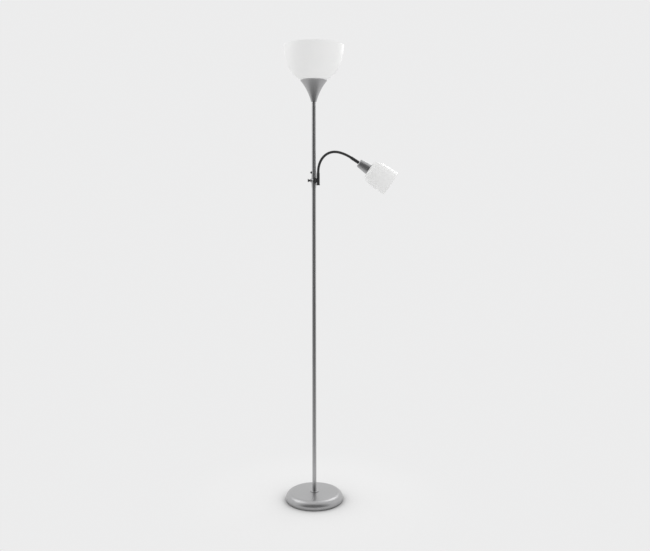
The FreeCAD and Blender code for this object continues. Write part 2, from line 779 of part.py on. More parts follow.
# ---- uplighter --------------------------------------------------------------------------------
def cup_body(inset):
    foot = (CUP_FOOT_R - inset, POLE_TOP_Z)
    middle = (CUP_MID_R - inset, POLE_TOP_Z + CUP_MID_RISE)
    edge = (CUP_R - inset, CUP_EDGE_Z)
    return turned((0, POLE_TOP_Z), foot, (middle, edge), (0, CUP_EDGE_Z))


def uplight_cup():
    hollow = cup_body(CUP_WALL).cut(rod(CUP_R, POLE_TOP_Z - 1, CUP_FLOOR_Z))
    hem = turned(
        (CUP_R - CUP_WALL, CUP_EDGE_Z),
        (CUP_R, CUP_EDGE_Z),
        (CUP_R + CUP_WALL / 2, CUP_EDGE_Z - CUP_HEM / 2),
        (CUP_R - CUP_WALL, CUP_EDGE_Z - CUP_HEM),
    )
    shell = cup_body(0).fuse(hem).cut(hollow)
    return shell.cut(rod(THREAD_R + FIT, POLE_TOP_Z - 1, CUP_FLOOR_Z + 1))


def cup_nut():
    return hex_nut(NUT_FLATS, THREAD_R + FIT, CUP_FLOOR_Z, CUP_FLOOR_Z + NUT_T)


def cup_nipple():
    return tube(THREAD_R, THREAD_BORE_R, POLE_TOP_Z - INSERT_LEN, HOLDER_FOOT_Z + NIPPLE_IN_HOLDER)


def uplight_lead():
    return rod(LEAD_R, BUTTON_Z + PUSH_BODY_H / 2, HOLDER_FOOT_Z + NIPPLE_IN_HOLDER)


def uplight_holder():
    floor = BOWL_SEAT_Z - E27_DEPTH
    dome = (E27_BODY_R, HOLDER_FOOT_Z + E27_FOOT_RISE)
    shape = turned(
        (0, HOLDER_FOOT_Z),
        (E27_FOOT_R, HOLDER_FOOT_Z),
        (arc_middle((E27_FOOT_R, HOLDER_FOOT_Z), E27_FOOT_LEAN, dome), dome),
        (E27_BODY_R, BOWL_SEAT_Z - E27_FLANGE_T),
        (E27_FLANGE_R, BOWL_SEAT_Z - E27_FLANGE_T),
        (E27_FLANGE_R, BOWL_SEAT_Z),
        (E27_SKIRT_R, BOWL_SEAT_Z),
        (E27_SKIRT_R, BOWL_SEAT_Z + E27_SKIRT_LEN),
        (E27_BORE_R, BOWL_SEAT_Z + E27_SKIRT_LEN),
        (E27_BORE_R, floor),
        (0, floor),
    )
    return shape.cut(rod(THREAD_R + FIT, HOLDER_FOOT_Z - 1, HOLDER_FOOT_Z + NIPPLE_IN_HOLDER))


def bowl_shade():
    """Bowl of even wall: a flat floor clamped in the cup, a steep round side and an upright rim."""
    def bowl(inset):
        lip_inset = offset(inset, BOWL_LIP_LEAN)
        side_inset = offset(inset, BOWL_SIDE_LEAN)
        belly_inset = offset(inset, BOWL_BELLY_LEAN)
        floor = (BOWL_FLOOR_R, BOWL_SEAT_Z + inset)
        lip = (CUP_R - CUP_WALL - GAP - lip_inset[0], CUP_EDGE_Z + BOWL_LIP_RISE + lip_inset[1])
        side = (BOWL_R - BOWL_SIDE[0] - side_inset[0], CUP_EDGE_Z + BOWL_SIDE[1] + side_inset[1])
        belly = (BOWL_R - BOWL_BELLY[0] - belly_inset[0], CUP_EDGE_Z + BOWL_BELLY[1] + belly_inset[1])
        rim = (BOWL_R - inset, CUP_EDGE_Z + BOWL_RISE)
        return turned(
            (0, floor[1]),
            floor,
            lip,
            (side, belly),
            (arc_middle(rim, BOWL_RIM_LEAN, belly), rim),
            (0, rim[1]),
        )
    hole = rod(E27_SKIRT_R + FIT, BOWL_SEAT_Z - 1, BOWL_SEAT_Z + BOWL_WALL + 1)
    return bowl(0).cut(bowl(BOWL_WALL)).cut(hole)


def shade_ring():
    low = BOWL_SEAT_Z + BOWL_WALL
    return turned(
        (E27_SKIRT_R + FIT, low),
        (RING_R, low),
        (RING_R, low + RING_EDGE),
        (RING_R - RING_TAPER, low + RING_H),
        (E27_SKIRT_R + FIT, low + RING_H),
    )


def uplight_bulb_cap():
    cap = bulb_cap(E27_CAP_R, E27_CAP_LEN, E27_TIP_R)
    cap.translate(V(0, 0, BOWL_SEAT_Z - E27_DEPTH))
    return cap


def uplight_bulb_glass():
    glass = bulb_glass(E27_CAP_R + A60_NECK_OVER, A60_R, E27_CAP_LEN, A60_LEN, A60_JOIN)
    glass.translate(V(0, 0, BOWL_SEAT_Z - E27_DEPTH))
    return glass


# ---- all pieces -------------------------------------------------------------------------------
PIECES = (
    base_pad, base_weight, base_cover, base_stud, base_nut, base_washer, cable_gland, pole_collar,
    pole_foot_insert, pole_lower_tube, pole_middle_tube, pole_upper_tube, pole_top_tube,
    pole_coupler_lower, pole_coupler_upper, pole_top_plug,
    junction_sleeve, switch_boss, rotary_switch_body, switch_bushing, rotary_knob, knob_spindle,
    push_switch_body, button_bezel, push_button,
    arm_block, arm_hollow_screw, arm_stub, stub_end_cap, neck_root_ball,
    head_ferrule, head_nipple, head_lock_nut, reading_cap, reading_holder, reading_shade,
    reading_shade_ring, reading_bulb_cap, reading_bulb_glass,
    uplight_cup, cup_nut, cup_nipple, uplight_lead, uplight_holder, bowl_shade, shade_ring,
    uplight_bulb_cap, uplight_bulb_glass,
)


def export(name, shape):
    shape.exportStep(os.path.join("parts", name + ".step"))
    print(f"{name}: {len(shape.Solids)} solid, {shape.Volume / 1000:.1f} cm3, valid {shape.isValid()}")


os.makedirs("parts", exist_ok=True)
for piece in PIECES:
    export(piece.__name__, piece())
for number in range(len(LINK_TURNS)):
    export(f"neck_link_{number + 1}", neck_link(number))
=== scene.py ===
import json
import math

import bmesh
import bpy
import numpy as np
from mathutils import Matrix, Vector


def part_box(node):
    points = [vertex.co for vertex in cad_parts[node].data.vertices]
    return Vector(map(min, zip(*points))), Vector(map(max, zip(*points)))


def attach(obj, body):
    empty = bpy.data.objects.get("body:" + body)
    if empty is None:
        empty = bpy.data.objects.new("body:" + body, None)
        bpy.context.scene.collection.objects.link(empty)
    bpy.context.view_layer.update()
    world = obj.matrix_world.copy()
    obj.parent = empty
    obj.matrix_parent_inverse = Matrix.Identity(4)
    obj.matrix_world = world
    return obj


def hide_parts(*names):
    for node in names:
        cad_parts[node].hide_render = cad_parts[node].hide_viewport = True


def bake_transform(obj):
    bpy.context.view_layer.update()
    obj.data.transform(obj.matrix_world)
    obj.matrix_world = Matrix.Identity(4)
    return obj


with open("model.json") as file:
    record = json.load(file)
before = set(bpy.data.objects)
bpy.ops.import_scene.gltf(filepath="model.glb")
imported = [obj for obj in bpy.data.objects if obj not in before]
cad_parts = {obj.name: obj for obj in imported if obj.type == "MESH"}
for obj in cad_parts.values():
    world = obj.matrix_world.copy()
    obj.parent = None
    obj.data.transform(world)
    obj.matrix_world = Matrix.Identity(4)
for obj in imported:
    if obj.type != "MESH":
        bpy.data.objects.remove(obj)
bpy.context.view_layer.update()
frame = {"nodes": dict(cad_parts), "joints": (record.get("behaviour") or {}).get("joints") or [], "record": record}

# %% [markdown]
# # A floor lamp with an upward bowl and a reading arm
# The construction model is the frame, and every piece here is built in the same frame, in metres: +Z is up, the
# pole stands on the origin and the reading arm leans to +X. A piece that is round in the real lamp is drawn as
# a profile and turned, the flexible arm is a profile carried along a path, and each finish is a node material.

NODES = frame["nodes"]
RECORD = frame["record"]
SLOT_OF = {part["node"]: part["material_slot"] for part in RECORD["subparts"]}
BODY_OF = {node: body for body, nodes in RECORD["behaviour"]["bodies"].items() for node in nodes}
MM = 0.001
FACE_GAP = 0.02 * MM                      # keeps two faces that touch from flickering

# %% [markdown]
# ## The camera
# The photograph looks slightly down at the lamp from a little above its middle. The place, the tilt and the lens
# were found by matching the round outlines of the foot, the cup and the bowl, which fix a view well because each
# circle turns into an ellipse of its own width.

# %% Camera
CAMERA_PLACE = (0.0426, -2.853, 1.2203)
CAMERA_TILT = 0.109                       # radians below level
CAMERA_LENS = 40.77                       # mm, on a sensor 36 mm wide

camera_data = bpy.data.cameras.new("camera")
camera_data.lens = CAMERA_LENS
camera_data.sensor_width = 36.0
camera_data.sensor_fit = "HORIZONTAL"
camera = bpy.data.objects.new("camera", camera_data)
camera.location = CAMERA_PLACE
camera.rotation_euler = (math.pi / 2 - CAMERA_TILT, 0.0, 0.0)
bpy.context.scene.collection.objects.link(camera)
bpy.context.scene.camera = camera
bpy.context.scene.view_settings.view_transform = "Standard"
print("camera:", CAMERA_PLACE, "lens", CAMERA_LENS)

# %% [markdown]
# ## Studio light
# The light is plain and soft: an even grey world, one large lamp high on the left, one high on the right behind the
# pole, and a weak fill from the right front. Shiny metal shows what stands round it, so the world is pale for
# glossy rays, but darker on the camera's side, as a room behind a photographer is. That dark side draws the dim
# middle of the pole between its two bright edges. The fill lights matt surfaces only and can't be seen in metal.

# %% World
BACKDROP = (0.842, 0.842, 0.844)
AMBIENT = 0.74
FRONT_SHADE = 0.09
PALE_SHADE = 0.90
# tone of the room in metal, by direction: 0 is straight to the camera's side, 1 straight away from it
ROOM_TONES = ((0.0, FRONT_SHADE), (0.11, FRONT_SHADE), (0.36, PALE_SHADE), (1.0, PALE_SHADE))

world = bpy.data.worlds.new("studio")
bpy.context.scene.world = world
world.use_nodes = True


def new_node(tree, kind, place=(0, 0), **values):
    """Adds a node to a tree and sets its own properties."""
    node = tree.nodes.new(kind)
    node.location = place
    for key, value in values.items():
        setattr(node, key, value)
    return node


def fed(tree, kind, inputs, output=0, **values):
    """Adds a node, links or sets its inputs, given as {name or number: socket or value}, and returns one output."""
    node = new_node(tree, kind, **values)
    for key, value in inputs.items():
        if isinstance(value, bpy.types.NodeSocket):
            tree.links.new(value, node.inputs[key])
        else:
            node.inputs[key].default_value = value
    return node.outputs[output]


def ramp_of(tree, stops, place=(0, 0), interpolation="EASE"):
    """A colour ramp with (position, grey or colour) stops."""
    ramp = new_node(tree, "ShaderNodeValToRGB", place)
    ramp.color_ramp.interpolation = interpolation
    elements = ramp.color_ramp.elements
    while len(elements) < len(stops):
        elements.new(0.5)
    for element, (position, colour) in zip(elements, stops):
        element.position = position
        shade = colour if isinstance(colour, tuple) else (colour, colour, colour)
        element.color = (*shade, 1.0)
    return ramp


def build_world():
    """Camera rays see the plain backdrop, glossy rays a room that is darker in front, other rays an even grey."""
    tree = world.node_tree
    tree.nodes.clear()
    direction = new_node(tree, "ShaderNodeTexCoord").outputs["Generated"]
    away = fed(tree, "ShaderNodeSeparateXYZ", {0: direction}, "Y")
    facing = fed(tree, "ShaderNodeMapRange", {"Value": away, "From Min": -1.0, "From Max": 1.0})
    room = ramp_of(tree, ROOM_TONES)
    tree.links.new(facing, room.inputs[0])
    rays = new_node(tree, "ShaderNodeLightPath").outputs
    backdrop = fed(tree, "ShaderNodeBackground", {"Color": (*BACKDROP, 1.0)})
    even = fed(tree, "ShaderNodeBackground", {"Color": (AMBIENT, AMBIENT, AMBIENT, 1.0)})
    shine = fed(tree, "ShaderNodeBackground", {"Color": room.outputs[0]})
    lighting = fed(tree, "ShaderNodeMixShader", {0: rays["Is Glossy Ray"], 1: even, 2: shine})
    seen = fed(tree, "ShaderNodeMath", {0: rays["Is Camera Ray"], 1: rays["Is Transmission Ray"]},
               operation="MAXIMUM")
    whole = fed(tree, "ShaderNodeMixShader", {0: seen, 1: lighting, 2: backdrop})
    tree.links.new(whole, new_node(tree, "ShaderNodeOutputWorld").inputs[0])


build_world()
print("world: backdrop", BACKDROP, "ambient", AMBIENT)

# %% Lamps
LAMPS = {
    # name: place, point aimed at, width, height, watts
    "left_softbox": ((-1.85, 0.40, 2.45), (0.0, 0.0, 0.3), 1.7, 1.7, 10.0),
    "right_softbox": ((1.30, 1.60, 2.45), (0.0, 0.0, 0.3), 1.45, 1.45, 10.4),
    "right_fill": ((1.70, -1.30, 1.50), (0.0, 0.0, 1.4), 1.0, 1.0, 5.0),
}
MATT_ONLY = ("right_fill",)


def aim(obj, place, target):
    """Turns an object's -Z towards a target."""
    forward = np.array(target, float) - np.array(place, float)
    yaw = math.atan2(forward[1], forward[0]) - math.pi / 2
    level = math.hypot(forward[0], forward[1])
    obj.location = place
    obj.rotation_euler = (math.pi / 2 + math.atan2(forward[2], level), 0.0, yaw)


for lamp_name, (place, target, width, height, watts) in LAMPS.items():
    light = bpy.data.lights.new(lamp_name, "AREA")
    light.shape = "RECTANGLE"
    light.size = width
    light.size_y = height
    light.energy = watts
    lamp = bpy.data.objects.new(lamp_name, light)
    lamp.visible_camera = False
    lamp.visible_glossy = lamp_name not in MATT_ONLY
    bpy.context.scene.collection.objects.link(lamp)
    aim(lamp, place, target)
print("lamps:", ", ".join(LAMPS))

# %% [markdown]
# ## The floor
# The floor has to keep the lamp's soft shadow and still melt into the backdrop. Near the lamp it is a plain pale
# matt surface. Its colour is also painted darker where the foot stands close over it: a painted shadow, read from
# an occlusion node, on top of the real one. Further out a mask on the distance from the pole turns
# it, for camera and mirror rays only, into a plain tone. Seen by the camera that tone is the backdrop's own
# colour, so that no horizon shows from any side. Seen in metal it gets darker towards the camera's side, like the
# room above it.

# %% Floor
FLOOR_HALF = 6.0
FLOOR_PALE = 0.935
SHADOW_R = 0.24                           # the floor is all matt up to here
MELT_R = 0.62                             # and has melted into the backdrop from here on
DIM_FRONT = 3.0                           # metres in front of the pole where the mirrored floor is darkest
FLOOR_IN_METAL = ((0.0, 0.15), (0.74, 0.42), (0.93, 0.72), (1.0, 0.84))
# painted shadow: these two set how far and how deeply an occlusion node darkens the floor's colour
PAINTED_SHADOW_REACH = 0.20                        # how far a piece over the floor still darkens it
PAINTED_SHADOW_DEPTH = 0.92                        # share of the floor's paleness lost where nothing reaches it


def floor_material():
    """Matt and melted floor, mixed by smoothstep(distance from the pole) for rays that see the floor directly.
    The matt floor's colour is painted darker by an occlusion node, which is a painted shadow.
    """
    material = bpy.data.materials.new("pale_floor")
    material.use_nodes = True
    tree = material.node_tree
    tree.nodes.clear()
    position = new_node(tree, "ShaderNodeTexCoord").outputs["Object"]
    distance = fed(tree, "ShaderNodeVectorMath", {0: position}, "Value", operation="LENGTH")
    fade = fed(tree, "ShaderNodeMapRange", {"Value": distance, "From Min": SHADOW_R, "From Max": MELT_R},
               interpolation_type="SMOOTHSTEP")
    rays = new_node(tree, "ShaderNodeLightPath").outputs
    seen = fed(tree, "ShaderNodeMath", {0: rays["Is Camera Ray"], 1: rays["Is Transmission Ray"]},
               operation="MAXIMUM")
    direct = fed(tree, "ShaderNodeMath", {0: seen, 1: rays["Is Glossy Ray"]}, operation="MAXIMUM")
    melted = fed(tree, "ShaderNodeMath", {0: fade, 1: direct}, operation="MULTIPLY")
    away = fed(tree, "ShaderNodeSeparateXYZ", {0: position}, "Y")
    nearness = fed(tree, "ShaderNodeMapRange", {"Value": away, "From Min": -DIM_FRONT, "From Max": 0.0})
    dimmed = ramp_of(tree, FLOOR_IN_METAL, interpolation="LINEAR")
    tree.links.new(nearness, dimmed.inputs[0])
    tone = fed(tree, "ShaderNodeMix",
               {"Factor": rays["Is Glossy Ray"], "A": (*BACKDROP, 1.0), "B": dimmed.outputs[0]},
               "Result", data_type="RGBA")
    # painted shadow: the matt floor's colour falls from FLOOR_PALE to a darker tone where the occlusion node finds
    # pieces close above
    painted_shadow_openness = fed(tree, "ShaderNodeAmbientOcclusion", {"Distance": PAINTED_SHADOW_REACH}, "AO", samples=8)
    painted_shadow_paleness = fed(tree, "ShaderNodeMapRange",
                   {"Value": painted_shadow_openness, "To Min": FLOOR_PALE * (1 - PAINTED_SHADOW_DEPTH), "To Max": FLOOR_PALE})
    matt = fed(tree, "ShaderNodeBsdfDiffuse", {"Color": painted_shadow_paleness})
    plain = fed(tree, "ShaderNodeEmission", {"Color": tone})
    surface = fed(tree, "ShaderNodeMixShader", {0: melted, 1: matt, 2: plain})
    tree.links.new(surface, new_node(tree, "ShaderNodeOutputMaterial").inputs[0])
    return material


def build_floor():
    """One square at height zero."""
    half = FLOOR_HALF
    mesh = bpy.data.meshes.new("floor")
    corners = [(-half, -half, 0.0), (half, -half, 0.0), (half, half, 0.0), (-half, half, 0.0)]
    mesh.from_pydata(corners, [], [(0, 1, 2, 3)])
    mesh.materials.append(floor_material())
    floor = bpy.data.objects.new("floor", mesh)
    bpy.context.scene.collection.objects.link(floor)
    return floor


build_floor()
print("floor: shadow kept within", SHADOW_R, "m of the pole")

# %% [markdown]
# ## Effects that several finishes share
# A finish is never one flat colour: paint has faint clouds and a fine grain, metal that was turned on a lathe has
# rings round its axis, and moulded plastic has a soft texture. Each effect is one node group. It puts out only
# masks and heights, and each material mixes them in with its own values.

# %% Node groups
def new_group(name, inputs, outputs):
    """An empty shader group with float or vector sockets, given as (name, kind, default)."""
    group = bpy.data.node_groups.new(name, "ShaderNodeTree")
    kinds = {"float": "NodeSocketFloat", "vector": "NodeSocketVector"}
    for label, kind, default in inputs:
        socket = group.interface.new_socket(label, in_out="INPUT", socket_type=kinds[kind])
        if kind == "float":
            socket.default_value = default
    for label in outputs:
        group.interface.new_socket(label, in_out="OUTPUT", socket_type="NodeSocketFloat")
    return group, new_node(group, "NodeGroupInput", (-600, 0)), new_node(group, "NodeGroupOutput", (600, 0))


def build_cloudy_grain():
    """Clouds: wide soft noise. Grain: fine noise. Both lie between 0 and 1."""
    group, entry, exit_node = new_group(
        "cloudy_grain",
        (("Vector", "vector", None), ("Cloud Scale", "float", 12.0), ("Grain Scale", "float", 900.0)),
        ("Clouds", "Grain"),
    )
    for label, detail in (("Cloud", 3.0), ("Grain", 2.0)):
        noise = new_node(group, "ShaderNodeTexNoise")
        noise.inputs["Detail"].default_value = detail
        group.links.new(entry.outputs["Vector"], noise.inputs["Vector"])
        group.links.new(entry.outputs[f"{label} Scale"], noise.inputs["Scale"])
        group.links.new(noise.outputs[0], exit_node.inputs["Clouds" if label == "Cloud" else "Grain"])
    return group


def build_spun_rings():
    """Rings: noise read along the distance from the Z axis, so it repeats all the way round as lathe marks do."""
    group, entry, exit_node = new_group(
        "spun_rings", (("Vector", "vector", None), ("Rings per Metre", "float", 900.0)), ("Rings",)
    )
    link = group.links.new
    parts = new_node(group, "ShaderNodeSeparateXYZ")
    link(entry.outputs["Vector"], parts.inputs[0])
    flat = new_node(group, "ShaderNodeCombineXYZ")
    link(parts.outputs["X"], flat.inputs["X"])
    link(parts.outputs["Y"], flat.inputs["Y"])
    radius = new_node(group, "ShaderNodeVectorMath", operation="LENGTH")
    link(flat.outputs[0], radius.inputs[0])
    along = new_node(group, "ShaderNodeMath", operation="ADD")
    link(radius.outputs["Value"], along.inputs[0])
    link(parts.outputs["Z"], along.inputs[1])
    noise = new_node(group, "ShaderNodeTexNoise", noise_dimensions="1D")
    noise.inputs["Detail"].default_value = 3.0
    link(along.outputs[0], noise.inputs["W"])
    link(entry.outputs["Rings per Metre"], noise.inputs["Scale"])
    link(noise.outputs[0], exit_node.inputs["Rings"])
    return group


CLOUDY_GRAIN = build_cloudy_grain()
SPUN_RINGS = build_spun_rings()
print("groups:", CLOUDY_GRAIN.name, SPUN_RINGS.name)

# %% [markdown]
# ## Finishes
# Every finish starts from one Principled shader. Numbers that are the same all over sit on its own sockets, and
# only what changes over the surface, colour, roughness and the height of a bump, comes from nodes.

# %% The common pattern of a finish
PATTERN_LOW, PATTERN_HIGH = 0.3, 0.7      # noise seldom leaves this part of its range


def finish(name, base, rough, spread=0.05, rough_spread=0.05, cloud=12.0, grain=900.0, bump=0.02, depth=0.0001,
           metallic=0.0, coat=0.0, coat_rough=0.1, rings=0.0, ring_share=0.0, grain_share=0.3, **sockets):
    """A finish whose colour and roughness drift with clouds, grain and, where rings is set, lathe rings.

    colour = base * (1 - spread ... 1 + spread), roughness = rough - rough_spread ... rough + rough_spread.
    """
    material = bpy.data.materials.new(name)
    material.use_nodes = True
    tree = material.node_tree
    link = tree.links.new
    shader = tree.nodes["Principled BSDF"]
    shader.inputs["Metallic"].default_value = metallic
    shader.inputs["Coat Weight"].default_value = coat
    shader.inputs["Coat Roughness"].default_value = coat_rough
    for socket, value in sockets.items():
        shader.inputs[socket.replace("_", " ")].default_value = value
    coords = new_node(tree, "ShaderNodeTexCoord", (-1200, 0))
    effect = new_node(tree, "ShaderNodeGroup", (-1000, 0), node_tree=CLOUDY_GRAIN)
    effect.inputs["Cloud Scale"].default_value = cloud
    effect.inputs["Grain Scale"].default_value = grain
    link(coords.outputs["Object"], effect.inputs["Vector"])
    blend = new_node(tree, "ShaderNodeMix", (-800, 0), data_type="FLOAT")
    blend.inputs["Factor"].default_value = grain_share
    link(effect.outputs["Clouds"], blend.inputs["A"])
    link(effect.outputs["Grain"], blend.inputs["B"])
    pattern = blend.outputs[0]
    if rings:
        lathe = new_node(tree, "ShaderNodeGroup", (-1000, -200), node_tree=SPUN_RINGS)
        lathe.inputs["Rings per Metre"].default_value = rings
        link(coords.outputs["Object"], lathe.inputs["Vector"])
        ringed = new_node(tree, "ShaderNodeMix", (-700, -200), data_type="FLOAT")
        ringed.inputs["Factor"].default_value = ring_share
        link(pattern, ringed.inputs["A"])
        link(lathe.outputs["Rings"], ringed.inputs["B"])
        pattern = ringed.outputs[0]
    low = tuple(max(0.0, c * (1 - spread)) for c in base)
    high = tuple(min(1.0, c * (1 + spread)) for c in base)
    tint = ramp_of(tree, ((PATTERN_LOW, low), (PATTERN_HIGH, high)), (-500, 100), "LINEAR")
    link(pattern, tint.inputs[0])
    link(tint.outputs[0], shader.inputs["Base Color"])
    gloss = new_node(tree, "ShaderNodeMapRange", (-500, -100))
    gloss.inputs["From Min"].default_value = PATTERN_LOW
    gloss.inputs["From Max"].default_value = PATTERN_HIGH
    gloss.inputs["To Min"].default_value = max(0.02, rough - rough_spread)
    gloss.inputs["To Max"].default_value = rough + rough_spread
    link(pattern, gloss.inputs["Value"])
    link(gloss.outputs[0], shader.inputs["Roughness"])
    relief = new_node(tree, "ShaderNodeBump", (-300, -300))
    relief.inputs["Strength"].default_value = bump
    relief.inputs["Distance"].default_value = depth
    link(pattern if rings else effect.outputs["Grain"], relief.inputs["Height"])
    link(relief.outputs[0], shader.inputs["Normal"])
    return material


# %% Finishes: one for each slot of the record, and a smoother one for tube
FINISH = {
    # silver lacquer over spun or drawn steel
    "silver_paint": finish("silver_paint", (0.43, 0.43, 0.435), 0.34, spread=0.05, rough_spread=0.035, cloud=9.0,
                           grain=1600.0, bump=0.10, depth=0.00006, metallic=0.88, coat=0.25, coat_rough=0.16,
                           rings=260.0, ring_share=0.45),
    # the same lacquer over smooth tube, without lathe rings
    "tube_silver": finish("tube_silver", (0.43, 0.43, 0.435), 0.26, spread=0.04, rough_spread=0.03, cloud=9.0,
                          grain=1800.0, bump=0.08, depth=0.00004, metallic=0.92, coat=0.2, coat_rough=0.14),
    "satin_boss": finish("satin_boss", (0.60, 0.60, 0.61), 0.30, metallic=0.9, grain=1200.0),
    "dark_metal": finish("dark_metal", (0.042, 0.042, 0.043), 0.44, spread=0.18, rough_spread=0.07, cloud=40.0,
                         grain=2200.0, bump=0.12, depth=0.00005, metallic=0.25, Specular_IOR_Level=0.35),
    "black_plastic": finish("black_plastic", (0.012, 0.012, 0.013), 0.30, spread=0.2, cloud=60.0, grain=3000.0,
                            bump=0.15, depth=0.00004, coat=0.15, coat_rough=0.2),
    "floor_rubber": finish("floor_rubber", (0.022, 0.022, 0.022), 0.82, spread=0.2, cloud=30.0, grain=1500.0,
                           bump=0.5, depth=0.0002),
    "cast_ballast": finish("cast_ballast", (0.30, 0.29, 0.275), 0.92, spread=0.3, cloud=45.0, grain=700.0,
                           bump=0.8, depth=0.0006, grain_share=0.5),
    "zinc_steel": finish("zinc_steel", (0.58, 0.58, 0.59), 0.30, spread=0.08, metallic=1.0, grain=1800.0,
                         rings=1400.0, ring_share=0.6, bump=0.2, depth=0.00004),
    "switch_brass": finish("switch_brass", (0.72, 0.55, 0.27), 0.28, spread=0.08, metallic=1.0, grain=1800.0),
    "opal_shade": finish("opal_shade", (0.93, 0.93, 0.925), 0.36, spread=0.010, rough_spread=0.03, cloud=7.0,
                         grain=500.0, bump=0.04, depth=0.00008, Subsurface_Weight=0.3, Subsurface_Scale=0.0025,
                         Subsurface_Radius=(1.0, 1.0, 1.0), IOR=1.49),
    "lampholder_plastic": finish("lampholder_plastic", (0.78, 0.78, 0.76), 0.42, spread=0.03, grain=1500.0,
                                 bump=0.1, depth=0.00005),
    "bulb_cap_metal": finish("bulb_cap_metal", (0.74, 0.74, 0.75), 0.24, spread=0.06, metallic=1.0, grain=2000.0),
    "bulb_glass": finish("bulb_glass", (0.90, 0.90, 0.885), 0.42, spread=0.01, grain=900.0, bump=0.03,
                         Transmission_Weight=0.25, IOR=1.46),
    "lead_sheath": finish("lead_sheath", (0.02, 0.02, 0.02), 0.6, spread=0.15, grain=1500.0, bump=0.2),
}
for node_name, node in NODES.items():
    node.data.materials.clear()
    node.data.materials.append(FINISH[SLOT_OF[node_name]])
print("finishes:", len(FINISH), "on", len(NODES), "nodes")

# %% [markdown]
# ## Profiles and turning
# Most of this lamp was made on a lathe, a spinning bench or a tube mill, so most pieces are a closed profile in
# the (radius, height) plane, turned about an axis. The arcs are worked out from where they start, where they head
# and where they end, which is how the outline of a pressed shell is drawn. Corners get a small round, because a
# real edge is never perfectly sharp and the round is what catches the light.

# %% Arcs and rounded corners
def arc(start, heading, end, count=16):
    """Points of the arc that leaves start along heading (degrees) and reaches end, without its first point.

    With the chord d and half the turn a = angle(d) - heading, the point at t is
    start + 2 R sin(a t) (cos(heading + a t), sin(heading + a t)), where R = |d| / (2 sin a).
    """
    p, q = np.array(start, float), np.array(end, float)
    d = q - p
    h = math.radians(heading)
    a = math.atan2(d[1], d[0]) - h
    a = math.atan2(math.sin(a), math.cos(a))
    t = np.linspace(0.0, 1.0, count + 1)[1:, None]
    if abs(a) < 1e-6:
        return p + t * d
    reach = np.hypot(*d) / math.sin(a) * np.sin(a * t)
    return p + reach * np.hstack((np.cos(h + a * t), np.sin(h + a * t)))


def arc_through(start, middle, end, count=24):
    """Points of the circle through three points, from start to end, without its first point.

    With the points as complex numbers a, b, c and w = (c - a) / (b - a), the centre is
    a - (a - b) (w - |w|^2) / (2 i Im w).
    """
    a, b, c = (complex(*p) for p in (start, middle, end))
    w = (c - a) / (b - a)
    centre = a - (a - b) * (w - abs(w) ** 2) / (2j * w.imag)
    radius = abs(a - centre)
    first, via, last = (np.angle(p - centre) for p in (a, b, c))
    sweep = (last - first) % (2 * math.pi)
    if (via - first) % (2 * math.pi) > sweep:
        sweep -= 2 * math.pi
    t = first + sweep * np.linspace(0.0, 1.0, count + 1)[1:]
    return np.column_stack((centre.real + radius * np.cos(t), centre.imag + radius * np.sin(t)))


SIDE_SHARE = 0.45                         # a corner's round takes at most this much of each side
GUARD = 1.08                              # the points beside a round, as a share of its length along the side


def rounded(points, radius, steps=4, sharp=20.0, closed=True):
    """Rounds each corner that turns more than `sharp` degrees with a short quadratic curve.

    The curve leaves the corner's two sides a distance min(radius, SIDE_SHARE * side) away and has the corner as
    its control point: (1-t)^2 a + 2 t (1-t) corner + t^2 b. A point just outside each end keeps the sides flat.
    """
    p = np.asarray(points, float)
    before, after = np.roll(p, 1, 0), np.roll(p, -1, 0)
    u, v = before - p, after - p
    lu, lv = np.hypot(*u.T), np.hypot(*v.T)
    cosine = -(u * v).sum(1) / (lu * lv)
    bent = cosine < math.cos(math.radians(sharp))
    if not closed:
        bent[[0, -1]] = False
    bent &= p[:, 0] > 1e-9
    cut = np.where(bent, np.minimum(radius, SIDE_SHARE * np.minimum(lu, lv)), 0.0)[:, None]
    a, b = p + u / lu[:, None] * cut, p + v / lv[:, None] * cut
    t = np.linspace(0.0, 1.0, steps + 1)[None, :, None]
    curve = (1 - t) ** 2 * a[:, None] + 2 * t * (1 - t) * p[:, None] + t ** 2 * b[:, None]
    guard_a = p + u / lu[:, None] * cut * GUARD
    guard_b = p + v / lv[:, None] * cut * GUARD
    out = np.concatenate((guard_a[:, None], curve, guard_b[:, None]), 1).reshape(-1, 2)
    gaps = np.hypot(*(out - np.roll(out, 1, 0)).T)
    keep = gaps > 1e-7
    if not closed:
        keep[0] = True
    return out[keep]


print("a quarter arc ends at", arc((1, 0), 90, (0, 1), 4)[-1].round(3))


# %% Turning a profile
def add_mesh(name, points, faces, material):
    """A smooth-shaded mesh object from arrays of points and of quads; a quad with a repeated corner is a triangle."""
    mesh = bpy.data.meshes.new(name)
    faces = np.asarray(faces)
    three = faces[:, 2] == faces[:, 3]
    loops = np.concatenate((faces[~three].ravel(), faces[three][:, :3].ravel())).astype(np.int32)
    counts = np.concatenate((np.full((~three).sum(), 4), np.full(three.sum(), 3)))
    starts = np.concatenate(([0], np.cumsum(counts)[:-1])).astype(np.int32)
    mesh.vertices.add(len(points))
    mesh.vertices.foreach_set("co", np.asarray(points, np.float32).ravel())
    mesh.loops.add(len(loops))
    mesh.loops.foreach_set("vertex_index", loops)
    mesh.polygons.add(len(counts))
    mesh.polygons.foreach_set("loop_start", starts)
    mesh.update(calc_edges=True)
    mesh.validate()
    mesh.polygons.foreach_set("use_smooth", np.ones(len(mesh.polygons), bool))
    mesh.materials.append(material)
    obj = bpy.data.objects.new(name, mesh)
    bpy.context.scene.collection.objects.link(obj)
    return obj


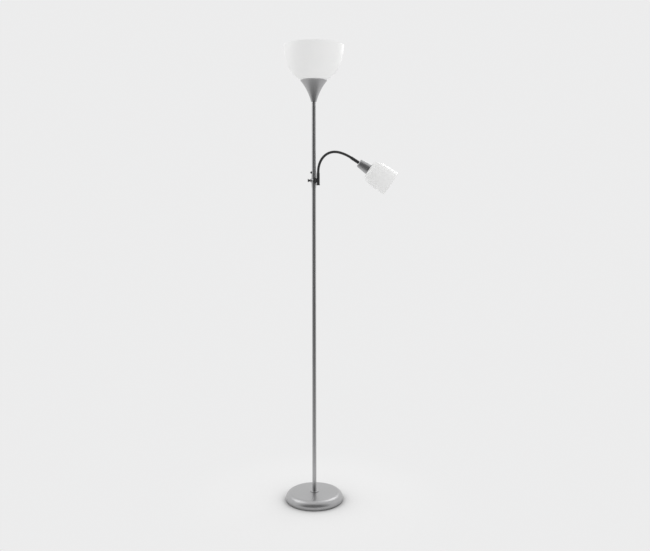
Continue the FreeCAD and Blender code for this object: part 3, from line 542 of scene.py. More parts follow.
def turn(profile, segments, shape=None):
    """Points and faces of a profile turned about Z.

    x = r cos(phi), y = r sin(phi). A profile from axis to axis gets a pole at each end, any other closes on
    itself. shape(r, z, phi) may return a changed r, for flutes and threads.
    """
    p = np.asarray(profile, float)
    poles = p[0, 0] < 1e-9 and p[-1, 0] < 1e-9
    area = (p[:, 0] * np.roll(p[:, 1], -1) - np.roll(p[:, 0], -1) * p[:, 1]).sum()
    if area < 0:
        p = p[::-1]
    rings = p[1:-1] if poles else p
    phi = np.arange(segments) * 2 * math.pi / segments
    r = np.repeat(rings[:, :1], segments, 1)
    z = np.repeat(rings[:, 1:], segments, 1)
    if shape is not None:
        r = shape(r, z, phi[None, :])
    points = np.stack((r * np.cos(phi), r * np.sin(phi), z), -1).reshape(-1, 3)
    n = len(rings)
    i = np.arange(n - 1 if poles else n)[:, None]
    j = np.arange(segments)[None, :]
    step_i, step_j = (i + 1) % n, (j + 1) % segments
    quads = np.stack((i * segments + j, i * segments + step_j, step_i * segments + step_j,
                      step_i * segments + j), -1).reshape(-1, 4)
    if poles:
        low, high = n * segments, n * segments + 1
        points = np.vstack((points, [0, 0, p[0, 1]], [0, 0, p[-1, 1]]))
        k = np.arange(segments)
        nxt = (k + 1) % segments
        last = (n - 1) * segments
        first_fan = np.column_stack((nxt, k, np.full(segments, low), np.full(segments, low)))
        last_fan = np.column_stack((last + k, last + nxt, np.full(segments, high), np.full(segments, high)))
        quads = np.vstack((quads, first_fan, last_fan))
    return points, quads


def placed(points, origin=(0, 0, 0), forward=(0, 0, 1)):
    """Moves points made along +Z so that +Z runs along forward, in the XZ plane, from origin."""
    f = np.array(forward, float)
    side = np.array((f[2], 0.0, -f[0]))
    return (points[:, :1] * side + points[:, 1:2] * np.array((0.0, 1.0, 0.0)) + points[:, 2:] * f
            + np.array(origin, float))


def finished(obj, *nodes):
    """A piece rides on its first node's body and stands for its nodes, which are hidden."""
    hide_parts(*nodes)
    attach(obj, BODY_OF[nodes[0]])
    return obj


def turned_piece(name, node, profile, segments=96, shape=None, origin=(0, 0, 0), forward=(0, 0, 1), look=None):
    """A finished piece from a turned profile. look names a finish other than that of the node's slot."""
    points, faces = turn(profile, segments, shape)
    obj = add_mesh(name, placed(points, origin, forward), faces, FINISH[look or SLOT_OF[node]])
    return finished(obj, node)


print("a cone of eight sides has", len(turn(((0, 0), (1, 0), (0, 1)), 8)[1]), "faces")

# %% [markdown]
# ## The foot
# A round steel cover is pressed over a cast weight. It has a nearly flat top, a wide round shoulder and a wall
# that curls in a little towards its rim, which hangs just clear of the floor. The shoulder is a quarter circle
# and the wall one shallow arc, and the same outline moved in by the sheet's thickness gives the inside.

# %% Foot cover
SHEET = 1.2 * MM
SHOULDER_R = 24.0 * MM
DOME_RISE = 1.0 * MM
RIM_TUCK = 1.4 * MM
STUD_R = 5.05 * MM
EDGE = 0.35 * MM                          # round on the edges of the foot's pieces

COVER_LOW, COVER_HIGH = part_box("base_cover")
FOOT_R = COVER_HIGH.x


def cover_outline(inset):
    """Outline of the cover from its middle hole to its rim, moved in by inset."""
    plateau = FOOT_R - SHOULDER_R
    flat_z = COVER_HIGH.z - DOME_RISE - inset
    wall = (FOOT_R - inset, COVER_HIGH.z - DOME_RISE - SHOULDER_R)
    rim = (FOOT_R - RIM_TUCK - inset, COVER_LOW.z)
    return np.vstack(((STUD_R, COVER_HIGH.z - inset), (plateau, flat_z), arc((plateau, flat_z), 0, wall, 28),
                      arc(wall, -90, rim, 10)))


def shell(outline, thickness):
    """Closed profile of a sheet: the outline, then the same outline moved in and walked back."""
    return np.vstack((outline(0.0), outline(thickness)[::-1]))


turned_piece("foot_cover", "base_cover", rounded(shell(cover_outline, SHEET), EDGE, sharp=40), 192)
print("foot:", round(2 * FOOT_R / MM), "mm across")

# %% Foot: pad, weight, collar and cord inlet
PAD_LOW, PAD_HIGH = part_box("base_pad")
PAD_HOLE_R = 15.0 * MM
PAD_RIBS = 90
PAD_RIB = 0.25 * MM


def ring_profile(inner, outer, low, high):
    """A plain rectangular ring, its corners in order."""
    return np.array(((inner, low), (outer, low), (outer, high), (inner, high)))


def gripped(r, z, phi):
    """Moulded ribs round the pad's edge: r shrinks in valleys (0.5 + 0.5 cos(n phi))^4 near the outer edge."""
    valley = (0.5 + 0.5 * np.cos(PAD_RIBS * phi)) ** 4
    return r - np.where(r > PAD_HIGH.x - 1.5 * MM, PAD_RIB * valley, 0.0)


turned_piece("foot_pad", "base_pad", rounded(ring_profile(PAD_HOLE_R, PAD_HIGH.x, PAD_LOW.z, PAD_HIGH.z), EDGE),
             720, gripped)

COLLAR_LOW, COLLAR_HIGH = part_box("pole_collar")
COLLAR_EDGE = 1.3 * MM
COLLAR_SEAT = 1.2 * MM
POLE_SEAT_R = 8.05 * MM
collar_top = (COLLAR_HIGH.x - COLLAR_EDGE, COLLAR_HIGH.z)
collar = np.vstack((
    (STUD_R, COLLAR_LOW.z),
    (COLLAR_HIGH.x, COLLAR_LOW.z),
    (COLLAR_HIGH.x, COLLAR_HIGH.z - COLLAR_EDGE),
    arc((COLLAR_HIGH.x, COLLAR_HIGH.z - COLLAR_EDGE), 90, collar_top, 10),
    (POLE_SEAT_R, COLLAR_HIGH.z),
    (POLE_SEAT_R, COLLAR_HIGH.z - COLLAR_SEAT),
    (STUD_R, COLLAR_HIGH.z - COLLAR_SEAT),
))
turned_piece("foot_collar", "pole_collar", rounded(collar, 0.15 * MM, sharp=50), 96)

GLAND_LOW, GLAND_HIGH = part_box("cable_gland")
GLAND_Z = (GLAND_LOW.z + GLAND_HIGH.z) / 2
GLAND_BARREL_R = 4.6 * MM
GLAND_FLANGE = 1.6 * MM
CORD_R = 3.5 * MM
gland_len = GLAND_HIGH.y - GLAND_LOW.y
gland = rounded(np.array((
    (CORD_R, 0.0),
    (GLAND_BARREL_R, 0.0),
    (GLAND_BARREL_R, gland_len - GLAND_FLANGE),
    (GLAND_HIGH.x, gland_len - GLAND_FLANGE),
    (GLAND_HIGH.x, gland_len),
    (CORD_R, gland_len),
)), 0.45 * MM)
gland_points, gland_faces = turn(gland, 64)
gland_points = gland_points[:, [0, 2, 1]] * (-1, 1, 1) + (0.0, GLAND_LOW.y, GLAND_Z)    # its axis laid along +Y
finished(add_mesh("cord_inlet_grommet", gland_points, gland_faces, FINISH["black_plastic"]), "cable_gland")
print("collar:", round(2 * COLLAR_HIGH.x / MM), "mm across; inlet at", round(GLAND_Z / MM, 1), "mm")

# %% [markdown]
# ## The pole
# Four steel tubes stand on each other over couplers, with slightly eased ends that leave a fine line where two of
# them meet. A long sleeve covers the place of the switches, and its ends taper to the tube.

# %% Pole
POLE_BORE_R = 7.0 * MM
TUBE_EDGE = 0.25 * MM
for tube_name in ("pole_lower_tube", "pole_middle_tube", "pole_upper_tube", "pole_top_tube"):
    low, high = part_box(tube_name)
    turned_piece(tube_name.replace("_tube", "_section"), tube_name,
                 rounded(ring_profile(POLE_BORE_R, high.x, low.z, high.z), TUBE_EDGE), 72, look="tube_silver")

SLEEVE_LOW, SLEEVE_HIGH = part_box("junction_sleeve")
SLEEVE_END_R = 8.4 * MM
SLEEVE_TAPER_LOW = 16.0 * MM
SLEEVE_TAPER_TOP = 24.0 * MM
sleeve_low = (SLEEVE_HIGH.x, SLEEVE_LOW.z + SLEEVE_TAPER_LOW)
sleeve_high = (SLEEVE_HIGH.x, SLEEVE_HIGH.z - SLEEVE_TAPER_TOP)
sleeve = np.vstack((
    (POLE_SEAT_R, SLEEVE_LOW.z),
    (SLEEVE_END_R, SLEEVE_LOW.z),
    sleeve_low,
    sleeve_high,
    (SLEEVE_END_R, SLEEVE_HIGH.z),
    (POLE_SEAT_R, SLEEVE_HIGH.z),
))
turned_piece("switch_sleeve", "junction_sleeve", rounded(sleeve, 3.0 * MM, steps=8, sharp=1.5), 72,
             look="tube_silver")
print("pole: four tubes and a sleeve up to", round(SLEEVE_HIGH.z / MM), "mm")

# %% [markdown]
# ## Switches
# A rotary knob sits in a small cone on the pole's far side from the arm, and a push button above it. Both axes lie
# along X, so these pieces are turned about Z first and then laid down to point to -X. The knob's rim has small
# flutes for the fingers.

# %% Knob, boss, bezel and button
TO_MINUS_X = (-1.0, 0.0, 0.0)
KNOB_LOW, KNOB_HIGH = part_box("rotary_knob")
SWITCH_Z = (KNOB_LOW.z + KNOB_HIGH.z) / 2
KNOB_DISC_R = 6.4 * MM
KNOB_DISC = 2.0 * MM
KNOB_WAIST_R = 3.9 * MM
KNOB_FLANGE_R = 5.4 * MM
KNOB_INNER = 14.3 * MM
KNOB_FLUTES = 22
KNOB_FLUTE = 0.35 * MM
KNOB_DISH_R = 0.55 * KNOB_DISC_R          # the disc's face is dished inside this radius
KNOB_DISH = 0.5 * MM
knob_end = -KNOB_LOW.x
disc_start = knob_end - KNOB_DISC
knob = np.vstack((
    (0.0, KNOB_INNER),
    (KNOB_FLANGE_R, KNOB_INNER),
    arc_through((KNOB_FLANGE_R, KNOB_INNER), (KNOB_WAIST_R, (KNOB_INNER + disc_start) / 2),
                (KNOB_DISC_R, disc_start)),
    (KNOB_DISC_R, knob_end),
    (KNOB_DISH_R, knob_end),
    arc((KNOB_DISH_R, knob_end), 200, (0.0, knob_end - KNOB_DISH), 8),
))


def fluted(r, z, phi):
    """Flutes on the disc: r shrinks in narrow valleys (0.5 + 0.5 cos(n phi))^3 near the disc's edge."""
    valley = (0.5 + 0.5 * np.cos(KNOB_FLUTES * phi)) ** 3
    on_disc = (z > disc_start - 0.2 * MM) & (r > 0.9 * KNOB_DISC_R)
    return r - np.where(on_disc, KNOB_FLUTE * valley, 0.0)


turned_piece("dimmer_knob", "rotary_knob", rounded(knob, 0.3 * MM, closed=False, sharp=35), 176, fluted,
             (0, 0, SWITCH_Z), TO_MINUS_X)

BEZEL_LOW, BEZEL_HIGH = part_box("button_bezel")
BUTTON_LOW, BUTTON_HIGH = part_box("push_button")
BUTTON_Z = (BEZEL_LOW.z + BEZEL_HIGH.z) / 2
BUTTON_R = 3.3 * MM
BUTTON_PLAY = 0.08 * MM
BUTTON_STEM_R = 2.0 * MM
BUTTON_STEM_END = 6.8 * MM
BEZEL_BARREL_R = 4.2 * MM
BEZEL_FLANGE_START = 10.05 * MM
BEZEL_START = 4.5 * MM
BUTTON_CROWN = 0.5 * MM
bezel = np.array((
    (BUTTON_R + BUTTON_PLAY, BEZEL_START),
    (BEZEL_BARREL_R, BEZEL_START),
    (BEZEL_BARREL_R, BEZEL_FLANGE_START),
    (BEZEL_HIGH.z - BUTTON_Z, BEZEL_FLANGE_START),
    (BEZEL_HIGH.z - BUTTON_Z, -BEZEL_LOW.x),
    (BUTTON_R + BUTTON_PLAY, -BEZEL_LOW.x),
))
turned_piece("button_ring", "button_bezel", rounded(bezel, 0.2 * MM), 64, None, (0, 0, BUTTON_Z), TO_MINUS_X)
button_face = -BUTTON_LOW.x
button = np.vstack((
    (0.0, -BUTTON_HIGH.x),
    (BUTTON_STEM_R, -BUTTON_HIGH.x),
    (BUTTON_STEM_R, BUTTON_STEM_END),
    (BUTTON_R, BUTTON_STEM_END),
    (BUTTON_R, button_face - BUTTON_CROWN),
    arc((BUTTON_R, button_face - BUTTON_CROWN), 118, (0.0, button_face), 12),
))
turned_piece("reading_button", "push_button", rounded(button, 0.25 * MM, closed=False, sharp=25), 64, None,
             (0, 0, BUTTON_Z), TO_MINUS_X)
print("switches at", round(SWITCH_Z, 4), "and", round(BUTTON_Z, 4), "m")

# %% [markdown]
# ## Cut and milled pieces
# The saddle that carries the arm, the cone that fits round the sleeve and the hexagon nuts aren't round all over,
# so a copy of their solid is the start. Its loose triangles are merged, flat areas become single faces, and a
# narrow bevel rounds the sharp edges, with normals that keep the flat faces flat.

# %% Bevelled copies
def bevelled_piece(name, node, width, look=None):
    """A merged copy of a node's mesh with its sharp edges bevelled."""
    source = bmesh.new()
    source.from_mesh(NODES[node].data)
    bmesh.ops.remove_doubles(source, verts=source.verts, dist=1e-6)
    bmesh.ops.dissolve_limit(source, angle_limit=math.radians(0.5), verts=source.verts, edges=source.edges)
    mesh = bpy.data.meshes.new(name)
    source.to_mesh(mesh)
    source.free()
    mesh.polygons.foreach_set("use_smooth", np.ones(len(mesh.polygons), bool))
    mesh.materials.clear()
    mesh.materials.append(FINISH[look or SLOT_OF[node]])
    obj = bpy.data.objects.new(name, mesh)
    bpy.context.scene.collection.objects.link(obj)
    bevel = obj.modifiers.new("edges", "BEVEL")
    bevel.width = width
    bevel.segments = 3
    bevel.limit_method = "ANGLE"
    bevel.angle_limit = math.radians(35)
    bevel.harden_normals = True
    return finished(obj, node)


for piece_name, node, width, look in (
    ("arm_saddle", "arm_block", 0.5 * MM, None),
    ("knob_boss", "switch_boss", 0.25 * MM, "tube_silver"),
    ("head_nut", "head_lock_nut", 0.3 * MM, None),
    ("foot_nut", "base_nut", 0.3 * MM, None),
):
    bevelled_piece(piece_name, node, width, look)
print("bevelled copies: saddle, boss and nuts")

# %% [markdown]
# ## The arm's line
# The flexible arm is eight links long in the frame, and its joints lie on one smooth line of tangent arcs that
# starts straight up. Each arc's chord is known from two joints. The chord of an arc leans half the arc's turn away
# from its heading, so heading and turn follow one after the other, and the whole line comes from the frame alone.

# %% Places along the arm
JOINTS = {joint["child"]: joint for joint in frame["joints"]}
LINKS = 8
ARM_BODIES = ["stand", *(f"neck_{k}" for k in range(1, LINKS + 1)), "head"]
JOINT_PLACES = np.array([JOINTS[body]["pos_m"] for body in ARM_BODIES[1:]])[:, [0, 2]]


def arcs_through(places, heading):
    """Heading at each place, arc length of each stretch, from turn = 2 (heading - chord angle)."""
    headings, lengths = [heading], []
    for here, there in zip(places[:-1], places[1:]):
        chord = there - here
        turn_angle = 2 * (headings[-1] - math.atan2(chord[1], chord[0]))
        lengths.append(np.hypot(*chord) * (turn_angle / 2) / math.sin(turn_angle / 2))
        headings.append(headings[-1] - turn_angle)
    return np.array(headings), np.array(lengths)


HEADINGS, LINK_LENGTHS = arcs_through(JOINT_PLACES, math.pi / 2)
LINK_LEN = LINK_LENGTHS.mean()
ARM_LEN = LINK_LENGTHS.sum()


def arm_point(s):
    """Place and heading on the arm at lengths s, straight on before its first and after its last joint.

    On an arc that turns by swing, the chord is 2 sin(swing / 2) / turn rate long and leans swing / 2 from the
    arc's first heading.
    """
    s = np.asarray(s, float)
    starts = np.concatenate(([0.0], np.cumsum(LINK_LENGTHS)))
    k = np.clip(np.searchsorted(starts, s, side="right") - 1, 0, len(LINK_LENGTHS) - 1)
    into = np.clip(s, 0.0, ARM_LEN) - starts[k]
    turn_rate = (HEADINGS[k] - HEADINGS[k + 1]) / LINK_LENGTHS[k]
    swing = turn_rate * into
    reach = 2 * np.sin(swing / 2) / turn_rate
    heading = HEADINGS[k] - swing
    spare = s - np.clip(s, 0.0, ARM_LEN)
    x = JOINT_PLACES[k, 0] + reach * np.cos(HEADINGS[k] - swing / 2) + spare * np.cos(heading)
    z = JOINT_PLACES[k, 1] + reach * np.sin(HEADINGS[k] - swing / 2) + spare * np.sin(heading)
    return x, z, heading


HEAD_PLACE = (JOINT_PLACES[-1, 0], 0.0, JOINT_PLACES[-1, 1])
HEAD_WAY = (math.cos(HEADINGS[-1]), 0.0, math.sin(HEADINGS[-1]))
print("arm:", round(ARM_LEN / MM), "mm long, head points", round(math.degrees(HEADINGS[-1]), 1), "degrees from level")

# %% [markdown]
# ## The flexible hose
# A gooseneck is a steel strip wound round a spring, so its skin is one long screw of small rounded turns. It is
# drawn as a surface of two parameters, the length s along the arm and the angle phi round it, with a radius that
# rises and falls with s / pitch - phi / 2 pi. Each stretch reaches from the middle of one link to the middle of
# the next and bends smoothly over the joint between them, and the winding runs on from stretch to stretch.

# %% Hose
HOSE_R = 4.95 * MM
HOSE_BORE_R = 4.1 * MM
WINDING = 2.6 * MM
GROOVE = 0.42 * MM
HOSE_STEP = WINDING / 12
HOSE_ROUND = 48
HOSE_SINK = 7.0 * MM                      # the hose starts this far down inside the stub
HOSE_TAIL = 4.0 * MM                      # and ends this far inside the head's ferrule


def hose_surface(first, last):
    """Closed tube along the arm from length first to last: the wound outside, then the plain bore walked back.

    Outside radius = HOSE_R - GROOVE * (2 f - 1)^4, where f is the part of s / WINDING - phi / 2 pi after the point.
    """
    count = max(8, int(round((last - first) / HOSE_STEP)))
    outside = np.linspace(first, last, count + 1)
    inside = outside[::-4]
    s = np.concatenate((outside, inside))[:, None]
    phi = np.arange(HOSE_ROUND)[None, :] * 2 * math.pi / HOSE_ROUND
    f = (s / WINDING - phi / (2 * math.pi)) % 1.0
    wound = HOSE_R - GROOVE * (2 * f - 1) ** 4
    is_out = (np.arange(len(s)) <= count)[:, None]
    r = np.where(is_out, wound, HOSE_BORE_R)
    x, z, heading = arm_point(s)
    points = np.stack((x + r * np.cos(phi) * np.sin(heading), r * np.sin(phi) + 0 * s,
                       z - r * np.cos(phi) * np.cos(heading)), -1)
    rows = len(s)
    i, j = np.arange(rows)[:, None], np.arange(HOSE_ROUND)[None, :]
    down, across = (i + 1) % rows, (j + 1) % HOSE_ROUND
    faces = np.stack((i * HOSE_ROUND + j, i * HOSE_ROUND + across, down * HOSE_ROUND + across,
                      down * HOSE_ROUND + j), -1).reshape(-1, 4)
    return points.reshape(-1, 3), faces


hose_marks = np.concatenate(([-HOSE_SINK], (np.arange(LINKS) + 0.5) * LINK_LEN, [ARM_LEN + HOSE_TAIL]))
for k in range(LINKS + 1):
    points, faces = hose_surface(hose_marks[k], hose_marks[k + 1])
    stretch = add_mesh(f"hose_{k + 1}", points, faces, FINISH["dark_metal"])
    stands_for = [f"neck_link_{n}" for n in (k, k + 1) if 1 <= n <= LINKS] + (["neck_root_ball"] if k == 0 else [])
    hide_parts(*stands_for)
    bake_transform(stretch)
print("hose:", LINKS + 1, "stretches,", round(ARM_LEN / WINDING), "turns")

# %% [markdown]
# ## The stub and the reading head
# The hose stands in an upright stub with a plug in its lower end, and ends in a ferrule at the reading lamp. The
# lamp is a spun cap with a rounded back, a lampholder inside it, and an opal shade clamped to the holder by a ring.

# %% Stub and its plug
STUB_LOW, STUB_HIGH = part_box("arm_stub")
STUB_X = (STUB_LOW.x + STUB_HIGH.x) / 2
STUB_R = STUB_HIGH.x - STUB_X
STUB_WALL = 1.0 * MM
STUB_BORE_R = STUB_R - STUB_WALL
turned_piece("arm_stub_tube", "arm_stub",
             rounded(ring_profile(STUB_BORE_R, STUB_R, STUB_LOW.z, STUB_HIGH.z), 0.4 * MM), 64, None, (STUB_X, 0, 0))
PLUG_LOW, PLUG_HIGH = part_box("stub_end_cap")
PLUG_R = PLUG_HIGH.x - STUB_X
PLUG_SHANK_R = STUB_BORE_R - 0.05 * MM
plug_face = STUB_LOW.z - FACE_GAP
plug = np.vstack((
    (0.0, PLUG_LOW.z),
    (PLUG_R, PLUG_LOW.z),
    (PLUG_R, plug_face),
    (PLUG_SHANK_R, plug_face),
    (PLUG_SHANK_R, PLUG_HIGH.z),
    (0.0, PLUG_HIGH.z),
))
turned_piece("arm_stub_plug", "stub_end_cap", rounded(plug, 0.6 * MM, closed=False), 64, None, (STUB_X, 0, 0))
print("stub:", round(2 * STUB_R / MM, 1), "mm across at x =", round(STUB_X / MM, 1), "mm")


# %% Reading head
def head_piece(name, node, profile, segments=128, shape=None):
    """A piece turned about the head's axis. Its profile's height is measured from the arm's last joint."""
    return turned_piece(name, node, profile, segments, shape, HEAD_PLACE, HEAD_WAY)


FERRULE_R = 6.1 * MM
FERRULE_END = 30.6 * MM
FERRULE_MOUTH = -1.4 * MM
MOUTH_END = 15.3 * MM                     # the hose's seat ends here, and the nipple's bore goes on
MOUTH_R = 5.0 * MM
NIPPLE_R = 4.0 * MM
ferrule = np.vstack((
    (MOUTH_R, FERRULE_MOUTH),
    (FERRULE_R, FERRULE_MOUTH),
    (FERRULE_R, FERRULE_END),
    (NIPPLE_R, FERRULE_END),
    (NIPPLE_R, MOUTH_END),
    (MOUTH_R, MOUTH_END),
))
head_piece("head_ferrule_tube", "head_ferrule", rounded(ferrule, 0.5 * MM), 64)

CAP_BACK = 34.1 * MM
CAP_LEN = 45.8 * MM
CAP_BACK_R = 16.6 * MM
CAP_FRONT_R = 21.4 * MM
CAP_BEVEL = 5.0 * MM
CAP_SHEET = 1.2 * MM


def cap_outline(inset):
    """From the nipple's hole over the rounded back to the open front, moved in by inset."""
    back = CAP_BACK + inset
    start, end = (CAP_BACK_R - CAP_BEVEL, back), (CAP_BACK_R - inset, back + CAP_BEVEL)
    return np.vstack(((NIPPLE_R, back), start, arc(start, 10, end, 14), (CAP_FRONT_R - inset, CAP_BACK + CAP_LEN)))


head_piece("reading_head_cap", "reading_cap", rounded(shell(cap_outline, CAP_SHEET), 0.4 * MM, sharp=40))

SHADE_SEAT = 80.2 * MM
SHADE_LEN = 100.4 * MM
SHADE_R = 49.0 * MM
SHADE_BACK_R = 26.0 * MM
SHADE_WALL = 2.0 * MM
SHADE_HOLE_R = 13.95 * MM
BELL_SHOULDER = (7.5 * MM, 14.0 * MM)     # in from the rim's radius, on from the seat
BELL_WAIST = (1.2 * MM, 38.0 * MM)


def bell_outline(inset):
    """From the hole over the flat end and the round shoulder to the rim, moved in by inset."""
    flat = (SHADE_BACK_R - inset / 2, SHADE_SEAT + inset)
    shoulder = (SHADE_R - BELL_SHOULDER[0] - inset, SHADE_SEAT + BELL_SHOULDER[1])
    waist = (SHADE_R - BELL_WAIST[0] - inset, SHADE_SEAT + BELL_WAIST[1])
    rim = (SHADE_R - inset, SHADE_SEAT + SHADE_LEN)
    return np.vstack(((SHADE_HOLE_R, SHADE_SEAT + inset), flat, arc(flat, 20, shoulder, 18),
                      arc(shoulder, 64, waist, 14), arc(waist, 86.6, rim, 18)))


head_piece("reading_opal_shade", "reading_shade", rounded(shell(bell_outline, SHADE_WALL), 0.9 * MM, 6, 40), 160)
print("reading head: cap", round(2 * CAP_FRONT_R / MM), "mm, shade", round(2 * SHADE_R / MM), "mm across")

# %% [markdown]
# ## Lampholders, rings and bulbs
# Inside each shade a moulded lampholder carries a threaded skirt, and a ring screwed on that skirt clamps the
# shade. The bulbs are plain frosted ones with a rolled screw cap. A screw thread is a radius that waves with
# z / pitch - phi / 2 pi, faded in and out at the ends of the cap.

# %% Holders and rings
def holder_profile(foot_r, foot_rise, body_r, flange_r, flange, skirt_r, skirt, bore_r, foot, seat, floor):
    """From the foot over the rounded body and the flange to the skirt, then down the bore to the floor."""
    return np.vstack((
        (0.0, foot),
        (foot_r, foot),
        arc((foot_r, foot), 20, (body_r, foot + foot_rise), 10),
        (body_r, seat - flange),
        (flange_r, seat - flange),
        (flange_r, seat),
        (skirt_r, seat),
        (skirt_r, seat + skirt),
        (bore_r, seat + skirt),
        (bore_r, floor),
        (0.0, floor),
    ))


def ring_with_taper(hole_r, outer_r, edge, taper, low, high):
    """A flat ring from low to high whose outer wall leans in by taper above its edge."""
    return np.array(((hole_r, low), (outer_r, low), (outer_r, low + edge), (outer_r - taper, high), (hole_r, high)))


def ribbed_rim(outer_r, ribs):
    """Finger ribs on a ring: r shrinks between them, (0.5 + 0.5 cos(n phi))^2, only where r is near outer_r."""
    def shape(r, z, phi):
        return r - np.where(r > outer_r - 0.5 * MM, 0.45 * MM * (0.5 + 0.5 * np.cos(ribs * phi)) ** 2, 0.0)
    return shape


E14_SKIRT_R = 13.9 * MM
E14_SOCKET = 22.0 * MM                    # from the shade's seat down to the contact
READING_RING_R = 19.5 * MM
reading_holder = holder_profile(
    foot_r=10.6 * MM, foot_rise=2.6 * MM, body_r=13.2 * MM, flange_r=17.5 * MM, flange=2.6 * MM,
    skirt_r=E14_SKIRT_R, skirt=10.0 * MM, bore_r=10.4 * MM,
    foot=SHADE_SEAT - 29.8 * MM, seat=SHADE_SEAT, floor=SHADE_SEAT - E14_SOCKET)
head_piece("reading_lampholder", "reading_holder", rounded(reading_holder, 0.4 * MM, closed=False, sharp=30), 96)
ring_low = SHADE_SEAT + SHADE_WALL
reading_ring = ring_with_taper(SHADE_HOLE_R, READING_RING_R, 2.0 * MM, 2.0 * MM, ring_low, ring_low + 7.0 * MM)
head_piece("reading_shade_clamp", "reading_shade_ring", rounded(reading_ring, 0.4 * MM), 240,
           ribbed_rim(READING_RING_R, 24))

CUP_LOW, CUP_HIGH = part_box("uplight_cup")
BOWL_LOW, BOWL_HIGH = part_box("bowl_shade")
HOLDER_LOW, HOLDER_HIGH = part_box("uplight_holder")
BOWL_SEAT = BOWL_LOW.z
E27_SKIRT_R = 19.6 * MM
E27_SOCKET = 24.0 * MM
RING_R = 28.5 * MM
BOWL_HOLE_R = E27_SKIRT_R + 0.05 * MM
BOWL_WALL = 2.2 * MM
uplight_holder = holder_profile(
    foot_r=10.5 * MM, foot_rise=9.5 * MM, body_r=17.0 * MM, flange_r=25.0 * MM, flange=3.0 * MM,
    skirt_r=E27_SKIRT_R, skirt=16.0 * MM, bore_r=15.0 * MM,
    foot=HOLDER_LOW.z, seat=BOWL_SEAT, floor=BOWL_SEAT - E27_SOCKET)
turned_piece("uplight_lampholder", "uplight_holder", rounded(uplight_holder, 0.5 * MM, closed=False, sharp=30), 96)
ring_low = BOWL_SEAT + BOWL_WALL
bowl_ring = ring_with_taper(BOWL_HOLE_R, RING_R, 3.0 * MM, 4.0 * MM, ring_low, ring_low + 10.0 * MM)
turned_piece("bowl_clamp", "shade_ring", rounded(bowl_ring, 0.5 * MM), 288, ribbed_rim(RING_R, 32))
print("holders: seats at", round(BOWL_SEAT, 4), "m and", round(SHADE_SEAT, 4), "m along the head")


# %% Bulbs
TIP_RISE = 1.5 * MM
THREAD_ROWS = 90
THREAD_DEPTH = 0.9 * MM


def bulb_profiles(cap_r, cap_len, tip_r, glass_r, total, neck_over, join):
    """The screw cap's and the glass's profiles, standing on the contact at height zero.

    The globe is a circle down to the angle join (degrees above its middle), and an arc flares from there to the
    neck, which is neck_over wider than the cap.
    """
    heights = np.linspace(tip_r, cap_len, THREAD_ROWS)
    cap = np.vstack(((0.0, 0.0), (tip_r, 0.0), (tip_r, TIP_RISE),
                     np.column_stack((np.full(THREAD_ROWS, cap_r), heights)), (0.0, cap_len)))
    centre = total - glass_r
    angle = math.radians(join)
    on_globe = (glass_r * math.cos(angle), centre + glass_r * math.sin(angle))
    neck = (cap_r + neck_over, cap_len + FACE_GAP)
    flare = arc(on_globe, join - 90, neck, 18)[::-1]
    t = np.linspace(angle, math.pi / 2, 40)
    globe = np.column_stack((glass_r * np.cos(t), centre + glass_r * np.sin(t)))
    globe[-1, 0] = 0.0
    return cap, np.vstack(((0.0, cap_len + FACE_GAP), flare, globe))


def threaded(cap_r, cap_len, tip_r, pitch, depth):
    """Rolled thread: r shrinks by depth * (0.5 - 0.5 cos(2 pi z / pitch - phi)), faded at both ends of the cap."""
    def shape(r, z, phi):
        inside = np.clip((z - tip_r - pitch / 2) / pitch, 0, 1) * np.clip((cap_len - z - pitch) / pitch, 0, 1)
        wave = 0.5 - 0.5 * np.cos(2 * math.pi * z / pitch - phi)
        return r - np.where(r > 0.98 * cap_r, depth * wave * inside, 0.0)
    return shape


def add_bulb(prefix, nodes, sizes, pitch, origin, forward):
    """Two pieces, screw cap and glass, standing on origin along forward."""
    cap, glass = bulb_profiles(**sizes)
    thread = threaded(sizes["cap_r"], sizes["cap_len"], sizes["tip_r"], pitch, THREAD_DEPTH)
    turned_piece(f"{prefix}_screw_cap", nodes[0], cap, 72, thread, origin, forward)
    turned_piece(f"{prefix}_globe", nodes[1], glass, 96, None, origin, forward)


E27_SIZES = {"cap_r": 13.0 * MM, "cap_len": 26.0 * MM, "tip_r": 6.0 * MM, "glass_r": 30.0 * MM,
             "total": 108.0 * MM, "neck_over": 0.3 * MM, "join": -42}
E14_SIZES = {"cap_r": 7.0 * MM, "cap_len": 25.0 * MM, "tip_r": 3.5 * MM, "glass_r": 22.5 * MM,
             "total": 78.0 * MM, "neck_over": 0.5 * MM, "join": -50}
E27_PITCH = 3.62 * MM
E14_PITCH = 2.82 * MM
add_bulb("uplight_bulb", ("uplight_bulb_cap", "uplight_bulb_glass"), E27_SIZES, E27_PITCH,
         (0, 0, BOWL_SEAT - E27_SOCKET), (0, 0, 1))
contact = SHADE_SEAT - E14_SOCKET
reading_foot = tuple(place + way * contact for place, way in zip(HEAD_PLACE, HEAD_WAY))
add_bulb("reading_bulb", ("reading_bulb_cap", "reading_bulb_glass"), E14_SIZES, E14_PITCH, reading_foot, HEAD_WAY)
print("bulbs: screw threads of", E27_PITCH / MM, "and", E14_PITCH / MM, "mm")

# %% [markdown]
# ## The uplighter
# The cup is a spun trumpet: it leaves the pole almost upright and opens wider and wider to a folded edge. The bowl
# sits in it on a flat floor, swells quickly to a round belly and ends nearly upright at a plain rim. Both are thin
# shells, drawn as an outline with arcs and the same outline moved in.

# %% Cup
CUP_FOOT_R = 10.5 * MM
CUP_MID = (24.6 * MM, 38.7 * MM)          # radius halfway up the flare, height above its foot
CUP_R = 50.4 * MM
CUP_SHEET = 1.0 * MM
CUP_FLOOR = 1.5 * MM
CUP_BEAD = 0.8 * MM
BEAD_SPAN = (-70, 200)                    # degrees of the folded edge's round
cup_foot, cup_edge = CUP_LOW.z, CUP_HIGH.z


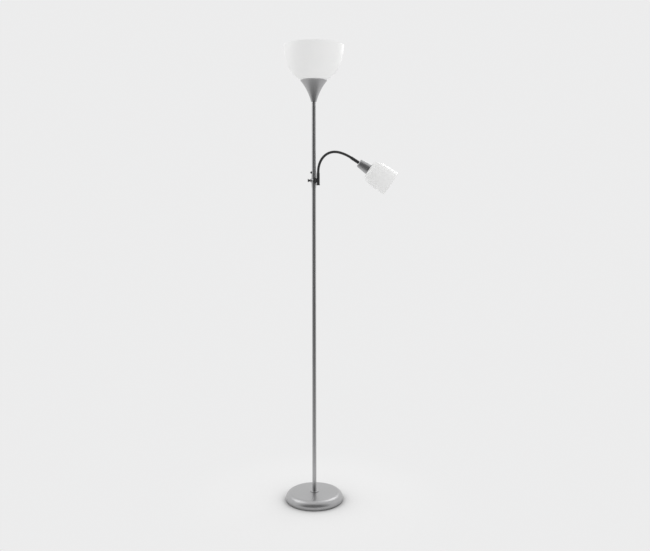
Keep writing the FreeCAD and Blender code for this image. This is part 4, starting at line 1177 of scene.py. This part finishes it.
def trumpet(inset):
    """The flare from foot to edge, moved in by inset: the circle through foot, middle and edge."""
    foot = (CUP_FOOT_R - inset, cup_foot)
    middle = (CUP_MID[0] - inset, cup_foot + CUP_MID[1])
    return np.vstack((foot, arc_through(foot, middle, (CUP_R - inset, cup_edge - CUP_BEAD), 48)))


bead_angles = np.radians(np.linspace(*BEAD_SPAN, 14))
bead = np.column_stack((CUP_R - CUP_SHEET / 2 + CUP_BEAD * np.cos(bead_angles),
                        cup_edge - CUP_BEAD + CUP_BEAD * np.sin(bead_angles)))
inside = trumpet(CUP_SHEET)[::-1]
inside = inside[inside[:, 1] > cup_foot + CUP_FLOOR]
floor_r = inside[-1, 0]
cup = np.vstack(((STUD_R, cup_foot), trumpet(0.0)[:-1], bead, inside[1:], (floor_r, cup_foot + CUP_FLOOR),
                 (STUD_R, cup_foot + CUP_FLOOR)))
turned_piece("spun_cup", "uplight_cup", rounded(cup, 0.3 * MM, sharp=50), 144)
print("cup:", round(2 * CUP_R / MM), "mm across,", round((cup_edge - cup_foot) / MM), "mm high")

# %% Bowl
BOWL_R = 114.8 * MM
BOWL_FLOOR_R = 38.0 * MM
BOWL_LIP = (49.1 * MM, 0.4 * MM)          # radius where the bowl leaves the cup, height above the cup's edge
BOWL_SIDE = (34.8 * MM, 26.6 * MM)        # in from the rim's radius, up from the cup's edge
BOWL_BELLY = (13.2 * MM, 62.5 * MM)
LIP_LEAN, SIDE_LEAN, BELLY_LEAN = 45, 41, 24


def leaning(thickness, degrees):
    """Inward and upward parts of the wall's thickness where its normal rises by degrees."""
    return thickness * math.cos(math.radians(degrees)), thickness * math.sin(math.radians(degrees))


def bowl_outline(inset):
    """From the hole over the flat floor, the lip, the round side and the belly to the rim, moved in by inset."""
    lip_in, lip_up = leaning(inset, LIP_LEAN)
    side_in, side_up = leaning(inset, SIDE_LEAN)
    belly_in, belly_up = leaning(inset, BELLY_LEAN)
    lip = (BOWL_LIP[0] - lip_in, cup_edge + BOWL_LIP[1] + lip_up)
    side = (BOWL_R - BOWL_SIDE[0] - side_in, cup_edge + BOWL_SIDE[1] + side_up)
    belly = (BOWL_R - BOWL_BELLY[0] - belly_in, cup_edge + BOWL_BELLY[1] + belly_up)
    rim = (BOWL_R - inset, BOWL_HIGH.z)
    upper = arc(rim, 264, belly, 30)[::-1]
    return np.vstack(((BOWL_HOLE_R, BOWL_SEAT + inset), (BOWL_FLOOR_R, BOWL_SEAT + inset), lip,
                      arc_through(lip, side, belly, 30), upper[1:], rim))


turned_piece("opal_bowl", "bowl_shade", rounded(shell(bowl_outline, BOWL_WALL), 1.0 * MM, 6, 30), 224)
print("bowl:", round(2 * BOWL_R / MM), "mm across, rim at", round(BOWL_HIGH.z, 3), "m")
